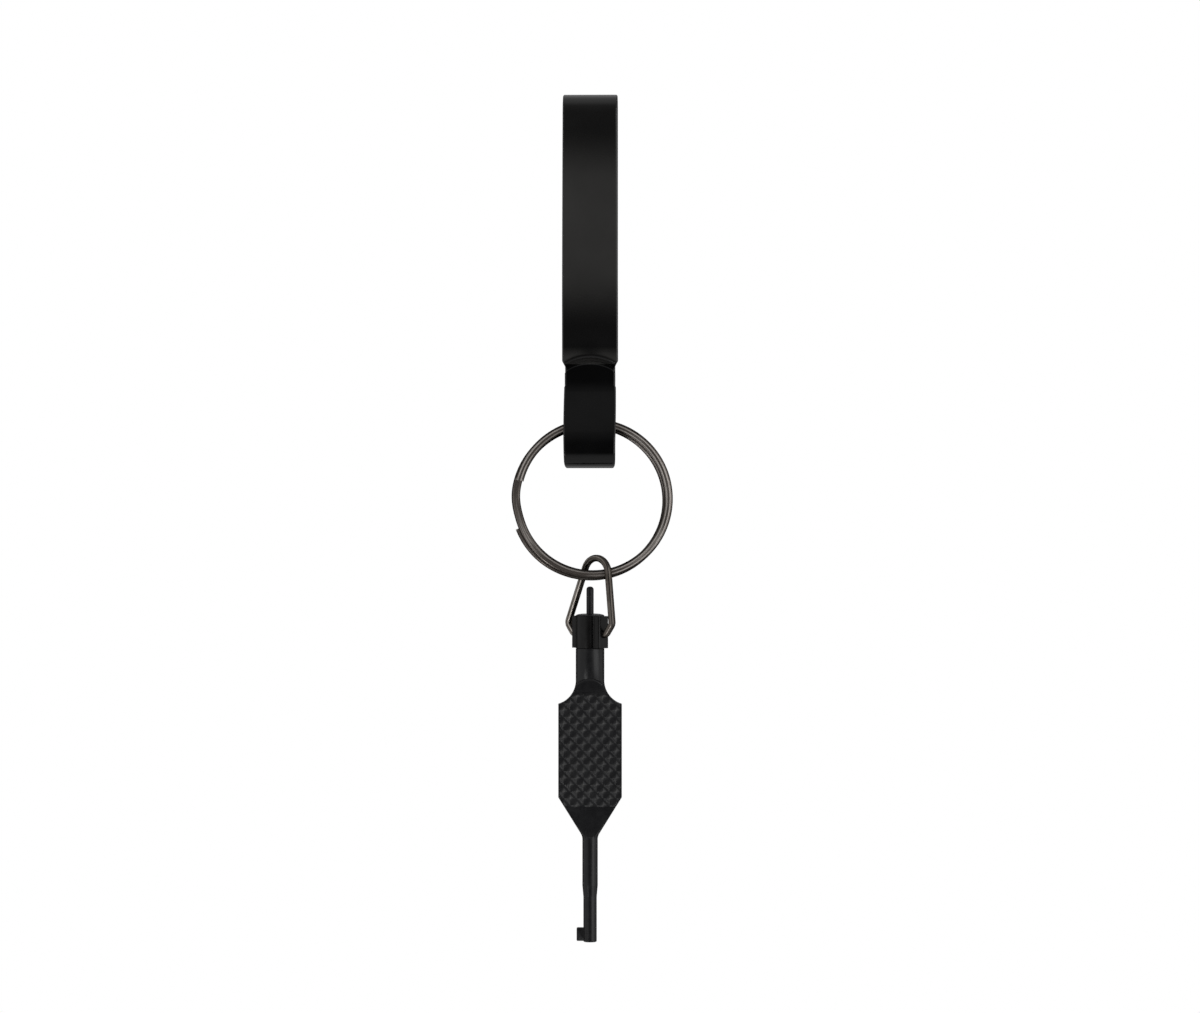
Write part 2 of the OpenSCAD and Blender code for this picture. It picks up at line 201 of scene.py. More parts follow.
def mesh_from(name: str, shape: bmesh.types.BMesh) -> Piece:
    """Turn a finished bmesh into an object with outward faces.

    Args:
        name: The object's name.
        shape: The bmesh, which is freed.

    Returns:
        The new object.
    """
    bmesh.ops.recalc_face_normals(shape, faces=shape.faces)
    mesh = bpy.data.meshes.new(name)
    shape.to_mesh(mesh)
    shape.free()
    return add_object(name, mesh)


def evaluated(piece: Piece) -> bpy.types.Mesh:
    """Return a plain mesh of an object with its modifiers applied."""
    graph = bpy.context.evaluated_depsgraph_get()
    return bpy.data.meshes.new_from_object(piece.evaluated_get(graph))


def applied(piece: Piece) -> None:
    """Replace an object's mesh by the one that its modifiers make.

    Args:
        piece: The object, which keeps no modifier.
    """
    mesh = evaluated(piece)
    piece.modifiers.clear()
    old, piece.data = piece.data, mesh
    bpy.data.meshes.remove(old)


def carved(piece: Piece, tools: Sequence[Piece], way: Carving) -> Piece:
    """Work a piece with tools.

    Args:
        piece: The piece that is worked on.
        tools: Objects that are used up.
        way: What the tools do to it.

    Returns:
        The worked piece.
    """
    for tool in tools:
        step = piece.modifiers.new("carve", "BOOLEAN")
        step.operation, step.solver, step.object = way.value, "EXACT", tool
        applied(piece)
        discard(tool)
    return piece


def store_wear(piece: Piece, domain: str, values: Sequence[float]) -> None:
    """Store how worn each point or face of a piece is."""
    piece.data.attributes.new(Wear.ATTRIBUTE, "FLOAT", domain).data.foreach_set("value", values)


def eased_edges(piece: Piece, width: float, angle: float, segments: int) -> Piece:
    """Round the sharp edges of a piece and mark the rounded strips for the wear of its finish.

    Args:
        piece: The piece.
        width: Width of the rounding.
        angle: Least angle at which an edge counts as sharp.
        segments: Faces across the rounding.

    Returns:
        The rounded piece.
    """
    piece.data.materials.clear()
    for _ in range(2):
        piece.data.materials.append(None)
    step = piece.modifiers.new("ease", "BEVEL")
    step.width, step.segments, step.limit_method = width, segments, "ANGLE"
    step.angle_limit, step.use_clamp_overlap, step.material = math.radians(angle), True, 1
    applied(piece)
    faces = piece.data.polygons
    store_wear(piece, "FACE", [float(face.material_index == 1) for face in faces])
    faces.foreach_set("material_index", [0] * len(faces))
    return piece


def smoothed(piece: Piece, angle: float = 35.0) -> None:
    """Shade a piece smooth, apart from its sharp edges.

    Args:
        piece: The piece.
        angle: Angle from which an edge is sharp.
    """
    shape = bmesh.new()
    shape.from_mesh(piece.data)
    for face in shape.faces:
        face.smooth = True
    for edge in shape.edges:
        edge.smooth = len(edge.link_faces) == 2 and edge.calc_face_angle(0.0) < math.radians(angle)
    shape.to_mesh(piece.data)
    shape.free()


def skin(shape: bmesh.types.BMesh, loops: Sequence[Sequence[bmesh.types.BMVert]]) -> None:
    """Span faces between loops of points.

    Args:
        shape: The bmesh that gets the faces.
        loops: Closed loops with the same number of points, apart from those that are a single point.
    """
    for lower, upper in zip(loops, loops[1:]):
        for k in range(max(len(lower), len(upper))):
            corners = (lower[k % len(lower)], lower[(k + 1) % len(lower)],
                       upper[(k + 1) % len(upper)], upper[k % len(upper)])
            shape.faces.new(list(dict.fromkeys(corners)))


def lofted(name: str, rows: Sequence[tuple[Sequence[Point2], float]], place: Placing) -> Piece:
    """Loft a body through flat outlines that have the same number of points.

    Args:
        name: The object's name.
        rows: Outlines, each with its place along the loft.
        place: Gives a point in the frame for the outline's two values and the loft's one.

    Returns:
        The closed body.
    """
    shape = bmesh.new()
    loops = [[shape.verts.new(place(a, b, h)) for a, b in outline] for outline, h in rows]
    skin(shape, loops)
    for end in (loops[0], loops[-1]):
        shape.faces.new(end)
    return mesh_from(name, shape)


def prism(name: str, outline: Sequence[Point2], low: float, high: float, place: Placing) -> Piece:
    """Extrude a flat outline from one height to another; the arguments are those of lofted()."""
    return lofted(name, ((outline, low), (outline, high)), place)


def turned(name: str, profile: Sequence[Point2], centre: Vector, sides: int) -> Piece:
    """Turn a profile about a vertical axis.

    Args:
        name: The object's name.
        profile: Radius and height of each point, with radius 0 at both ends.
        centre: A point on the axis.
        sides: Faces round the axis.

    Returns:
        The closed turned body.
    """
    shape = bmesh.new()
    skin(shape, [[shape.verts.new((centre.x + x, centre.y + y, height))
                  for x, y in circle(radius, sides if radius > 0 else 1)] for radius, height in profile])
    return mesh_from(name, shape)


@dataclass(frozen=True)
class Move:
    """One stretch of a centreline: straight if it has no turn, else an arc of radius size.

    The turn is in degrees, to the left.
    """

    size: float
    turn: float = 0.0

    @property
    def length(self) -> float:
        """Length of the stretch."""
        return self.size if self.turn == 0 else self.size * math.radians(abs(self.turn))

    def after(self, start: Point2, heading: float, way: float) -> tuple[Point2, float]:
        """Follow the stretch for part of its length.

        Args:
            start: Where it starts.
            heading: Heading at its start, in degrees.
            way: Length to go.

        Returns:
            The place reached and the heading there.
        """
        if self.turn == 0:
            at = math.radians(heading)
            return (start[0] + way * math.cos(at), start[1] + way * math.sin(at)), heading
        side = math.copysign(1.0, self.turn)
        reached = heading + side * math.degrees(way / self.size)
        old, new = math.radians(heading), math.radians(reached)
        return ((start[0] + side * self.size * (math.sin(new) - math.sin(old)),
                 start[1] - side * self.size * (math.cos(new) - math.cos(old))), reached)


@dataclass
class Centreline:
    """A row of moves from a start."""

    start: Point2
    heading: float
    moves: list[Move]

    @property
    def length(self) -> float:
        """Length of all the moves."""
        return sum(move.length for move in self.moves)

    def at(self, way: float) -> tuple[Point2, float]:
        """Find a place along the line.

        Args:
            way: Length from the start; past the end the last heading goes on.

        Returns:
            The place and the heading there, in degrees.
        """
        place, heading = self.start, self.heading
        for move in self.moves:
            if way <= move.length:
                return move.after(place, heading, max(way, 0.0))
            place, heading = move.after(place, heading, move.length)
            way -= move.length
        return Move(way).after(place, heading, way)

    def stations(self, straight: float, degrees: float) -> list[float]:
        """Choose lengths at which the line is cut.

        Args:
            straight: Widest step on a straight.
            degrees: Widest turn of a step in a bend.

        Returns:
            Lengths from the start, both ends among them.
        """
        marks, way = [0.0], 0.0
        for move in self.moves:
            step = straight if move.turn == 0 else math.radians(degrees) * move.size
            marks += spread(way, way + move.length, min(step, straight))[1:]
            way += move.length
        return marks


class Tree:
    """A node tree that is built by short calls."""

    def __init__(self, tree: bpy.types.NodeTree) -> None:
        """Wrap a tree."""
        self.tree = tree

    def feed(self, node: bpy.types.Node, inputs: dict) -> None:
        """Link or set inputs of a node.

        Args:
            node: The node.
            inputs: Values or sockets, by the name or number of the input.
        """
        for key, value in inputs.items():
            if isinstance(value, Socket):
                self.tree.links.new(value, node.inputs[key])
            else:
                node.inputs[key].default_value = value

    def node(self, kind: str, inputs: dict | None = None, **settings: object) -> bpy.types.Node:
        """Add a node.

        Args:
            kind: The node's type name.
            inputs: Values or sockets for its inputs, by name or number.
            settings: Its other properties.

        Returns:
            The new node.
        """
        new = self.tree.nodes.new(kind)
        for name, value in settings.items():
            setattr(new, name, value)
        self.feed(new, inputs or {})
        return new

    def maths(self, operation: str, *values: object) -> Socket:
        """Add a Math node and return its value."""
        return self.node("ShaderNodeMath", dict(enumerate(values)), operation=operation).outputs[0]

    def product(self, *values: object) -> Socket:
        """Multiply values."""
        return reduce(lambda first, second: self.maths("MULTIPLY", first, second), values)

    def mapped(self, value: object, low: float, high: float, to_low: float = 0.0, to_high: float = 1.0,
               smooth: bool = False) -> Socket:
        """Map a value from one range to another, evenly or by a smooth step."""
        return self.node("ShaderNodeMapRange", {0: value, 1: low, 2: high, 3: to_low, 4: to_high},
                         interpolation_type="SMOOTHSTEP" if smooth else "LINEAR").outputs[0]

    def vector(self, x: object = 0.0, y: object = 0.0, z: object = 0.0) -> Socket:
        """Join three values to a vector."""
        return self.node("ShaderNodeCombineXYZ", {0: x, 1: y, 2: z}).outputs[0]

    def split(self, vector: Socket) -> Sequence[Socket]:
        """Return the three values of a vector."""
        return self.node("ShaderNodeSeparateXYZ", {0: vector}).outputs

    def attribute(self, name: str) -> Socket:
        """Read a value that is stored on the mesh."""
        return self.node("ShaderNodeAttribute", attribute_name=name).outputs["Fac"]

    def place(self) -> Socket:
        """Read the place on the piece, in metres in the frame."""
        return self.node("ShaderNodeTexCoord").outputs["Object"]

    def noise(self, place: Socket, scale: object, detail: float, roughness: float = 0.5) -> Socket:
        """Add a cloudy pattern and return its value."""
        return self.node("ShaderNodeTexNoise", {"Vector": place, "Scale": scale, "Detail": detail,
                                                "Roughness": roughness}).outputs["Fac"]

    def tinted(self, share: object, base: object, colour: Colour) -> Socket:
        """Mix a share of a colour into a base colour."""
        return self.node("ShaderNodeMix", {0: share, 6: base, 7: (*colour, 1.0)}, data_type="RGBA").outputs[2]

    def moved(self, shape: Socket, place: object, turn: object = (0.0, 0.0, 0.0)) -> Socket:
        """Move and turn a shape."""
        return self.node("GeometryNodeTransform", {"Geometry": shape, "Translation": place,
                                                   "Rotation": turn}).outputs[0]

    def joined(self, *shapes: Socket) -> Socket:
        """Join shapes.

        Args:
            shapes: The shapes.

        Returns:
            The joined shape.
        """
        node = self.node("GeometryNodeJoinGeometry")
        for shape in shapes:
            self.tree.links.new(shape, node.inputs[0])
        return node.outputs[0]

    def dressed(self, shape: Socket, material: Socket) -> Socket:
        """Make a shape's instances real and give it a material."""
        real = self.node("GeometryNodeRealizeInstances", {0: shape}).outputs[0]
        return self.node("GeometryNodeSetMaterial", {"Geometry": real, "Material": material}).outputs[0]


class NodeGroup:
    """A node group with named sockets, built on its first use.

    The value of an input is its default number, or else the kind of its socket.
    """

    NAME: ClassVar[str]
    KIND: ClassVar[str] = "ShaderNodeTree"
    INPUTS: ClassVar[dict[str, float | str]]
    OUTPUTS: ClassVar[dict[str, str]]

    @classmethod
    def group(cls) -> bpy.types.NodeTree:
        """Build the group on its first use.

        Returns:
            The group.
        """
        if cls.NAME in bpy.data.node_groups:
            return bpy.data.node_groups[cls.NAME]
        tree = Tree(bpy.data.node_groups.new(cls.NAME, cls.KIND))
        sockets = tree.tree.interface
        for label, value in cls.INPUTS.items():
            kind = value if isinstance(value, str) else "Float"
            socket = sockets.new_socket(label, in_out="INPUT", socket_type="NodeSocket" + kind)
            if not isinstance(value, str):
                socket.default_value = value
        for label, kind in cls.OUTPUTS.items():
            sockets.new_socket(label, in_out="OUTPUT", socket_type="NodeSocket" + kind)
        made = cls.filled(tree, *tree.node("NodeGroupInput").outputs[:len(cls.INPUTS)])
        tree.feed(tree.node("NodeGroupOutput"), dict(enumerate(made)))
        return tree.tree

    @classmethod
    def filled(cls, tree: Tree, *inputs: Socket) -> Sequence[Socket]:
        """Build the nodes and link them to the inputs; each group has its own."""
        raise NotImplementedError


def from_tree(name: str, group: bpy.types.NodeTree, values: dict[str, object],
              data: bpy.types.ID | None = None) -> Piece:
    """Run a geometry tree once and keep its result as a plain mesh.

    Args:
        name: Name of the new piece.
        group: The geometry tree.
        values: Values of its inputs, by name.
        data: Mesh or curve that it starts from, if any.

    Returns:
        The new piece.
    """
    source = add_object(name + "_source", data or bpy.data.meshes.new(name + "_source"))
    step = source.modifiers.new("shape", "NODES")
    step.node_group = group
    for item in group.interface.items_tree:
        if item.item_type == "SOCKET" and item.in_out == "INPUT" and item.name in values:
            step[item.identifier] = values[item.name]
    mesh = evaluated(source)
    mesh.name = name
    bpy.data.objects.remove(source)
    return add_object(name, mesh)


class Grain(NodeGroup):
    """Shader group for fine unevenness of a surface: a mask, a roughness and a bumped normal."""

    NAME = "surface_grain"
    INPUTS = {"Grains per metre": 3000.0, "Patches per metre": 120.0, "Roughness low": 0.2,
              "Roughness high": 0.3, "Bump strength": 0.1, "Bump depth": 0.02 * MM}
    OUTPUTS = {"Patches": "Float", "Roughness": "Float", "Normal": "Vector"}
    PATCH_SHARE = 0.75

    @classmethod
    def filled(cls, tree: Tree, *inputs: Socket) -> Sequence[Socket]:
        """Build the nodes; the roughness follows the patches, with a share of the grains.

        Args:
            tree: The group's tree.
            inputs: The sockets of INPUTS, in their order.

        Returns:
            The sockets for OUTPUTS, in their order.
        """
        grain_scale, patch_scale, low, high, strength, depth = inputs
        place = tree.place()
        grains = tree.noise(place, grain_scale, 3.0)
        mask = tree.mapped(tree.noise(place, patch_scale, 5.0, 0.6), 0.35, 0.68, smooth=True)
        both = tree.maths("ADD", tree.product(mask, cls.PATCH_SHARE),
                          tree.product(grains, 1 - cls.PATCH_SHARE))
        rough = tree.maths("MULTIPLY_ADD", both, tree.maths("SUBTRACT", high, low), low)
        bump = tree.node("ShaderNodeBump", {"Strength": strength, "Distance": depth, "Height": grains})
        return mask, rough, bump.outputs[0]


class Wear(NodeGroup):
    """Shader group for bare or thinner finish along the edges, read from a mesh attribute."""

    NAME = "edge_wear"
    ATTRIBUTE = "edge"
    INPUTS = {"Spots per metre": 900.0, "Amount": 0.5, "Sharpness": 2.5}
    OUTPUTS = {"Wear": "Float"}

    @classmethod
    def filled(cls, tree: Tree, *inputs: Socket) -> Sequence[Socket]:
        """Build the nodes; spots break up the wear.

        Args:
            tree: The group's tree.
            inputs: The sockets of INPUTS, in their order.

        Returns:
            The sockets for OUTPUTS, in their order.
        """
        scale, amount, sharpness = inputs
        broken = tree.mapped(tree.noise(tree.place(), scale, 4.0), 0.3, 0.7, 0.2, 1.0)
        sharp = tree.maths("POWER", tree.attribute(cls.ATTRIBUTE), sharpness)
        return (tree.product(sharp, broken, amount),)


@dataclass(frozen=True)
class SatinAndPaintedSheenZone:
    """The zone on the front of the clip with a rubbed satin roughness and a lighter colour that is a painted
    sheen of reflected light, in bands by height.

    Heights and depths are in metres, in the frame. Near the lower edge the painted sheen paints light on the
    joggle's slope, and a painted shade line keeps the joggle's crease dark.
    """

    CREASE_SHADE: ClassVar[str] = "crease_shade"
    top: float = -22 * MM
    foot: float = -42 * MM
    fade: float = 15 * MM
    lip: float = -60.5 * MM
    lip_fade: float = 4.5 * MM
    end: float = -65.8 * MM
    end_fade: float = 0.2 * MM
    back: float = -1.6 * MM
    back_fade: float = 0.5 * MM
    clouds_per_metre: float = 55.0
    # lighter colour of the painted sheen
    colour: Colour = (0.0275, 0.0268, 0.0258)
    roughness: float = 0.42

    def mask(self, tree: Tree) -> Socket:
        """Build the zone's mask in a material: where the satin roughness and the painted sheen lie.

        Args:
            tree: The material's tree.

        Returns:
            The mask.
        """
        spot = tree.place()
        _, depth, height = tree.split(spot)
        upper = tree.mapped(height, self.top, self.top + self.fade, 1.0, 0.2, smooth=True)
        lower = tree.mapped(height, self.foot - self.fade, self.foot, 0.12, 1.0, smooth=True)
        # near the lower edge the mask rises again: painted light on the joggle's slope
        lip = tree.mapped(height, self.lip - self.lip_fade, self.lip, 1.0, 0.0, smooth=True)
        front = tree.mapped(depth, self.back, self.back + self.back_fade, 1.0, 0.0)
        end = tree.mapped(height, self.end, self.end + self.end_fade)
        uneven = tree.mapped(tree.noise(spot, self.clouds_per_metre, 3.0, 0.45), 0.2, 0.8, 0.66, 1.0)
        # painted shade: the sheen is taken off along the joggle's crease, leaving a dark line
        off_crease_shade = tree.maths("SUBTRACT", 1.0, tree.attribute(self.CREASE_SHADE))
        return tree.product(upper, tree.maths("MAXIMUM", lower, lip), front, end, uneven, off_crease_shade)


@dataclass(frozen=True)
class WireMarks:
    """Marks of drawing and rolling on a wire, with painted shade and painted highlights.

    They are fine drawing lines along it, strengthened into painted highlight streaks; rims that are smoother
    than its flats and darkened by painted shade; and painted highlights on the shoulders that come and go
    between the two.
    """

    lines_and_highlights: float
    lines_count: float
    edge_roughness: float
    # strength of the painted rim shade, of the painted shoulder highlights, and the colour of the rim shade
    rim_shade: float = 0.95
    shoulder_highlights: float = 1.0
    rim_shade_colour: Colour = (0.008, 0.007, 0.006)
    line_roughness: float = 0.1

    @staticmethod
    def facing(tree: Tree) -> Socket:
        """Measure how far a place on the wire is from its rims: 0 on them and 1 on its flats."""
        angle = tree.product(tree.attribute(WireTree.AROUND), math.tau)
        return tree.maths("ABSOLUTE", tree.maths("SINE", angle))

    @staticmethod
    def streaks(tree: Tree, across: float, along: float, detail: float) -> Socket:
        """Add a cloudy pattern with its clouds' number round the wire and along it."""
        place = tree.vector(tree.product(tree.attribute(WireTree.AROUND), across),
                            tree.product(tree.attribute(WireTree.ALONG), along))
        return tree.noise(place, 1.0, detail)

    def painted_rim_shade(self, tree: Tree) -> Socket:
        """Darken the wire's rims with painted shade and return its mask."""
        return tree.mapped(self.facing(tree), 0.62, 0.86, self.rim_shade, 0.0, smooth=True)

    def drawn_lines_and_highlights(self, tree: Tree) -> Socket:
        """Add the fine drawing lines, strengthened into painted highlight streaks, and painted highlights on
        the shoulders to a material.

        Args:
            tree: The material's tree.

        Returns:
            The mask of both.
        """
        drawn = tree.mapped(self.streaks(tree, self.lines_count, 0.8, 4.0), 0.5, 0.75, 0.0, self.lines_and_highlights)
        facing = self.facing(tree)
        # painted highlight on a band of the wire's shoulders
        shoulder = tree.product(tree.mapped(facing, 0.78, 0.86, 0.0, self.shoulder_highlights, smooth=True),
                                tree.mapped(facing, 0.93, 0.985, 1.0, 0.0, smooth=True))
        # the painted highlights come and go along the wire
        drift = tree.mapped(self.streaks(tree, 3.0, 0.3, 1.0), 0.4, 0.54, smooth=True)
        return tree.maths("MAXIMUM", drawn, tree.product(shoulder, drift))

    def polished(self, tree: Tree, rough: Socket) -> Socket:
        """Make the wire's rims smoother than its flats, whose roughness is given."""
        flat, change = tree.mapped(self.facing(tree), 0.8, 0.95, smooth=True), self.edge_roughness
        return tree.maths("MULTIPLY_ADD", flat, tree.maths("SUBTRACT", rough, change), change)


@dataclass(frozen=True)
class Finish:
    """A metal finish: a colour that varies in patches, lighter wear on the edges and a fine grain; a wire
    adds painted rim shade and painted highlights, and the clip adds a painted sheen.
    """

    name: str
    colour: Colour
    patch_colour: Colour
    worn_and_highlight_colour: Colour
    metallic: float
    roughness: tuple[float, float]
    specular: float = 0.5
    grains: float = 3000.0
    patches: float = 120.0
    bump: float = 0.1
    bump_depth: float = 0.02 * MM
    wear: float = 0.5
    wear_sharpness: float = 2.5
    wire: WireMarks | None = None
    tint: float = 1.0
    satin_and_sheen: SatinAndPaintedSheenZone | None = None

    def material(self) -> bpy.types.Material:
        """Build the material on its first use.

        Returns:
            The material.
        """
        if self.name in bpy.data.materials:
            return bpy.data.materials[self.name]
        new = bpy.data.materials.new(self.name)
        new.use_nodes = True
        tree = Tree(new.node_tree)
        values = (self.grains, self.patches, *self.roughness, self.bump, self.bump_depth)
        grain = tree.node("ShaderNodeGroup", dict(enumerate(values)), node_tree=Grain.group()).outputs
        wear = tree.node("ShaderNodeGroup", {1: self.wear, 2: self.wear_sharpness}, node_tree=Wear.group())
        base, rough = tree.tinted(grain[0], (*self.colour, 1.0), self.patch_colour), grain[1]
        if self.wire is not None:
            # painted highlights on the lines and shoulders in the worn colour, and painted shade on the rims
            lines_and_highlights = self.wire.drawn_lines_and_highlights(tree)
            base = tree.tinted(lines_and_highlights, base, self.worn_and_highlight_colour)
            base = tree.tinted(self.wire.painted_rim_shade(tree), base, self.wire.rim_shade_colour)
            rough = tree.maths("MULTIPLY_ADD", lines_and_highlights, self.wire.line_roughness,
                               self.wire.polished(tree, rough))
        # the satin zone: rougher, with a painted sheen in a lighter colour
        if self.satin_and_sheen is not None:
            zone = self.satin_and_sheen.mask(tree)
            base = tree.tinted(zone, base, self.satin_and_sheen.colour)
            change = tree.maths("SUBTRACT", self.satin_and_sheen.roughness, rough)
            rough = tree.maths("MULTIPLY_ADD", zone, change, rough)
        base = tree.tinted(wear.outputs[0], base, self.worn_and_highlight_colour)
        tree.feed(new.node_tree.nodes["Principled BSDF"], {
            "Base Color": base, "Roughness": rough, "Normal": grain[2], "Metallic": self.metallic,
            "Specular IOR Level": self.specular, "Specular Tint": (self.tint, self.tint, self.tint, 1.0)})
        return new


GLOSS_BLACK = Finish("gloss_black_enamel", (0.0011, 0.0011, 0.0012), (0.0017, 0.0017, 0.0018),
                     (0.014, 0.014, 0.0145), metallic=0.0, roughness=(0.13, 0.19), specular=0.25,
                     grains=1600.0, patches=90.0, bump_depth=0.006 * MM, satin_and_sheen=SatinAndPaintedSheenZone())
BLACK_NICKEL = Finish("black_nickel", (0.28, 0.243, 0.218), (0.18, 0.157, 0.141), (0.85, 0.79, 0.74),
                      metallic=1.0, roughness=(0.27, 0.35), grains=4000.0, patches=260.0, bump=0.05,
                      bump_depth=0.004 * MM, wire=WireMarks(0.9, 9.0, 0.2), tint=0.05)
BAIL_NICKEL = Finish("bail_black_nickel", (0.085, 0.074, 0.065), (0.05, 0.044, 0.038), (0.38, 0.35, 0.32),
                     metallic=1.0, roughness=(0.24, 0.34), grains=4000.0, patches=300.0, bump=0.06,
                     bump_depth=0.004 * MM, wear=0.3, wire=WireMarks(0.5, 6.0, 0.25, 0.5), tint=0.02)
SATIN_BLACK = Finish("satin_black_oxide", (0.0075, 0.0075, 0.0082), (0.0105, 0.0105, 0.0112),
                     (0.12, 0.118, 0.115), metallic=0.0, roughness=(0.22, 0.33), specular=0.17, grains=5000.0,
                     patches=420.0, bump=0.3, bump_depth=0.02 * MM, wear=0.55, wear_sharpness=5.0)
COLLAR_BLACK = Finish("collar_black_oxide", (0.0035, 0.0033, 0.0033), (0.0055, 0.0053, 0.0053),
                      (0.06, 0.058, 0.057), metallic=0.0, roughness=(0.24, 0.34), specular=0.14,
                      grains=4000.0, patches=500.0, bump=0.2, bump_depth=0.015 * MM)


def mark_edges(piece: Piece, angle: float, reach: float) -> None:
    """Store where a piece is convex, for the wear of its finish.

    Args:
        piece: The piece.
        angle: Angle between two faces from which an edge counts.
        reach: Value stored on such an edge.
    """
    shape = bmesh.new()
    shape.from_mesh(piece.data)
    values = [0.0] * len(shape.verts)
    for edge in shape.edges:
        if len(edge.link_faces) == 2 and edge.calc_face_angle_signed(0.0) > math.radians(angle):
            for vert in edge.verts:
                values[vert.index] = reach
    shape.free()
    store_wear(piece, "POINT", values)


def dress(piece: Piece, finish: Finish, body: Body, node: str | None) -> None:
    """Give a piece its finish and tie it to the CAD model.

    Args:
        piece: The finished piece.
        finish: Its finish.
        body: The body it rides on.
        node: The CAD node that it stands for, or None.
    """
    piece.data.materials.clear()
    piece.data.materials.append(finish.material())
    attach(piece, body.value)
    if node is not None:
        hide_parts(node)
    LOG.info("%s: %d faces on %s", piece.name, len(piece.data.polygons), body.value)


@dataclass
class BeltClip:
    """The spring clip: one strip bent into a belt pocket, a joggle, a hook and a tongue."""

    strip: float = 1.2 * MM
    panel_width: float = 13.6 * MM
    hook_width: float = 12.4 * MM
    belt_gap: float = 7.6 * MM
    back_length: float = 55 * MM
    back_end_radius: float = 10 * MM
    panel_length: float = 59.6 * MM
    bow_out: float = 1.5
    bow_in: float = 3.5
    joggle_step: float = 1.45 * MM
    joggle_length: float = 1.9 * MM
    lip_radius: float = 11.5 * MM
    arch_radius: float = 17.2 * MM
    hook_gap: float = 6.588 * MM
    hook_drop: float = 23.7 * MM
    tongue_rise: float = 0.8 * MM
    tongue_radius: float = 8 * MM
    tongue_lean: float = 26.0
    tip_gap: float = 0.25 * MM
    tip_radius: float = 10.8 * MM
    tip_drop: float = 2.25 * MM
    rim: float = 0.42 * MM
    corner: float = 0.9 * MM
    rim_steps: int = 5
    columns: int = 36
    widening: float = 0.4 * MM
    bend_narrowing: float = 0.45 * MM
    belly: float = 0.5 * MM
    belly_length: float = 31 * MM
    bend_reach: float = 1.7 * MM
    even_share: float = 0.45
    narrowing_start: float = 0.75
    narrowing_length: float = 0.9
    leg_inset: float = 0.002 * MM
    straight_step: float = 4 * MM
    hook_step: float = 3 * MM
    bend_step: float = 3.5
    joggle_rows: float = 0.1 * MM
    end_reach: float = 6 * MM
    end_rows: float = 0.4 * MM
    corner_rows: float = 0.08 * MM
    end_turn: float = 15.0
    least_rim: float = 0.001 * MM
    crease_shade_drop: float = 0.27 * MM
    crease_shade_reach: float = 0.42 * MM
    panel: Centreline = field(init=False)
    hook: Centreline = field(init=False)

    def __post_init__(self) -> None:
        """Work out both centrelines: down to the joggle, and from the leg behind the tongue to its tip."""
        bend = (self.belt_gap + self.strip) / 2
        bow = self.bow_out + self.bow_in
        self.panel = Centreline((bend, -self.belt_gap / 2 - self.back_length), 90.0, [
            Move(self.back_length), Move(bend, 180 - self.bow_out),
            Move(self.panel_length / math.radians(bow), bow)])
        (end_y, end_z), _ = self.panel.at(self.panel.length)
        self.panel_end = Vector((end_y, end_z))
        self.leg_top = end_z - 2 * self.joggle_length - self.arch_drop(self.hook_width / 2, self.arch_radius)
        bend_z = end_z - self.hook_drop
        leg_y = end_y + self.joggle_step - self.leg_inset
        turn = math.radians(self.tongue_lean)
        radius = self.tongue_radius
        slope = (self.hook_gap - self.tip_gap - 2 * radius * (1 - math.cos(turn))) / math.sin(turn)
        base = bend_z + self.tongue_rise
        top = base + 2 * radius * math.sin(turn) + slope * math.cos(turn)
        tip = end_z - self.tip_drop
        self.hook = Centreline((leg_y, self.leg_top), 270.0, [
            Move(self.leg_top - bend_z), Move((self.hook_gap + self.strip) / 2, -180),
            Move(self.tongue_rise), Move(radius, -self.tongue_lean), Move(slope),
            Move(radius, self.tongue_lean), Move(tip - top)])
        leg = self.panel.length + self.panel_end.y - self.leg_top
        self.total = leg + self.hook.length
        self.bend_way = leg + self.leg_top - bend_z + math.pi / 4 * (self.hook_gap + self.strip)

    @staticmethod
    def arch_drop(x: float, radius: float) -> float:
        """Return how far an arch of a radius lies below its crown at a distance from the middle."""
        return radius - math.sqrt(radius * radius - x * x)

    def centre(self, x: float, way: float) -> Vector:
        """Find the middle of the strip.

        Args:
            x: Distance from the clip's middle.
            way: Length along the strip from the end of the back leg.

        Returns:
            Y and Z of the point.
        """
        if way <= self.panel.length:
            return Vector(self.panel.at(way)[0])
        down = way - self.panel.length
        leg = self.panel_end.y - self.leg_top
        if down >= leg:
            return Vector(self.hook.at(down - leg)[0])
        start = self.arch_drop(x, self.lip_radius)
        share = eased((down - start) / self.joggle_length)
        front = self.panel_end.x + down * math.tan(math.radians(self.bow_in))
        return Vector((front + (self.hook.start[0] - front) * share, self.panel_end.y - down))

    def point(self, x: float, way: float, out: float) -> Vector:
        """Place a point of the strip.

        Args:
            x: Distance from the clip's middle.
            way: Length along the strip.
            out: Distance from the middle of its thickness, towards its outer face.

        Returns:
            The point in the frame.
        """
        step = 0.02 * MM
        tangent = (self.centre(x, way + step) - self.centre(x, way - step)).normalized()
        middle = self.centre(x, way)
        return Vector((x, middle.x + out * tangent.y, middle.y - out * tangent.x))

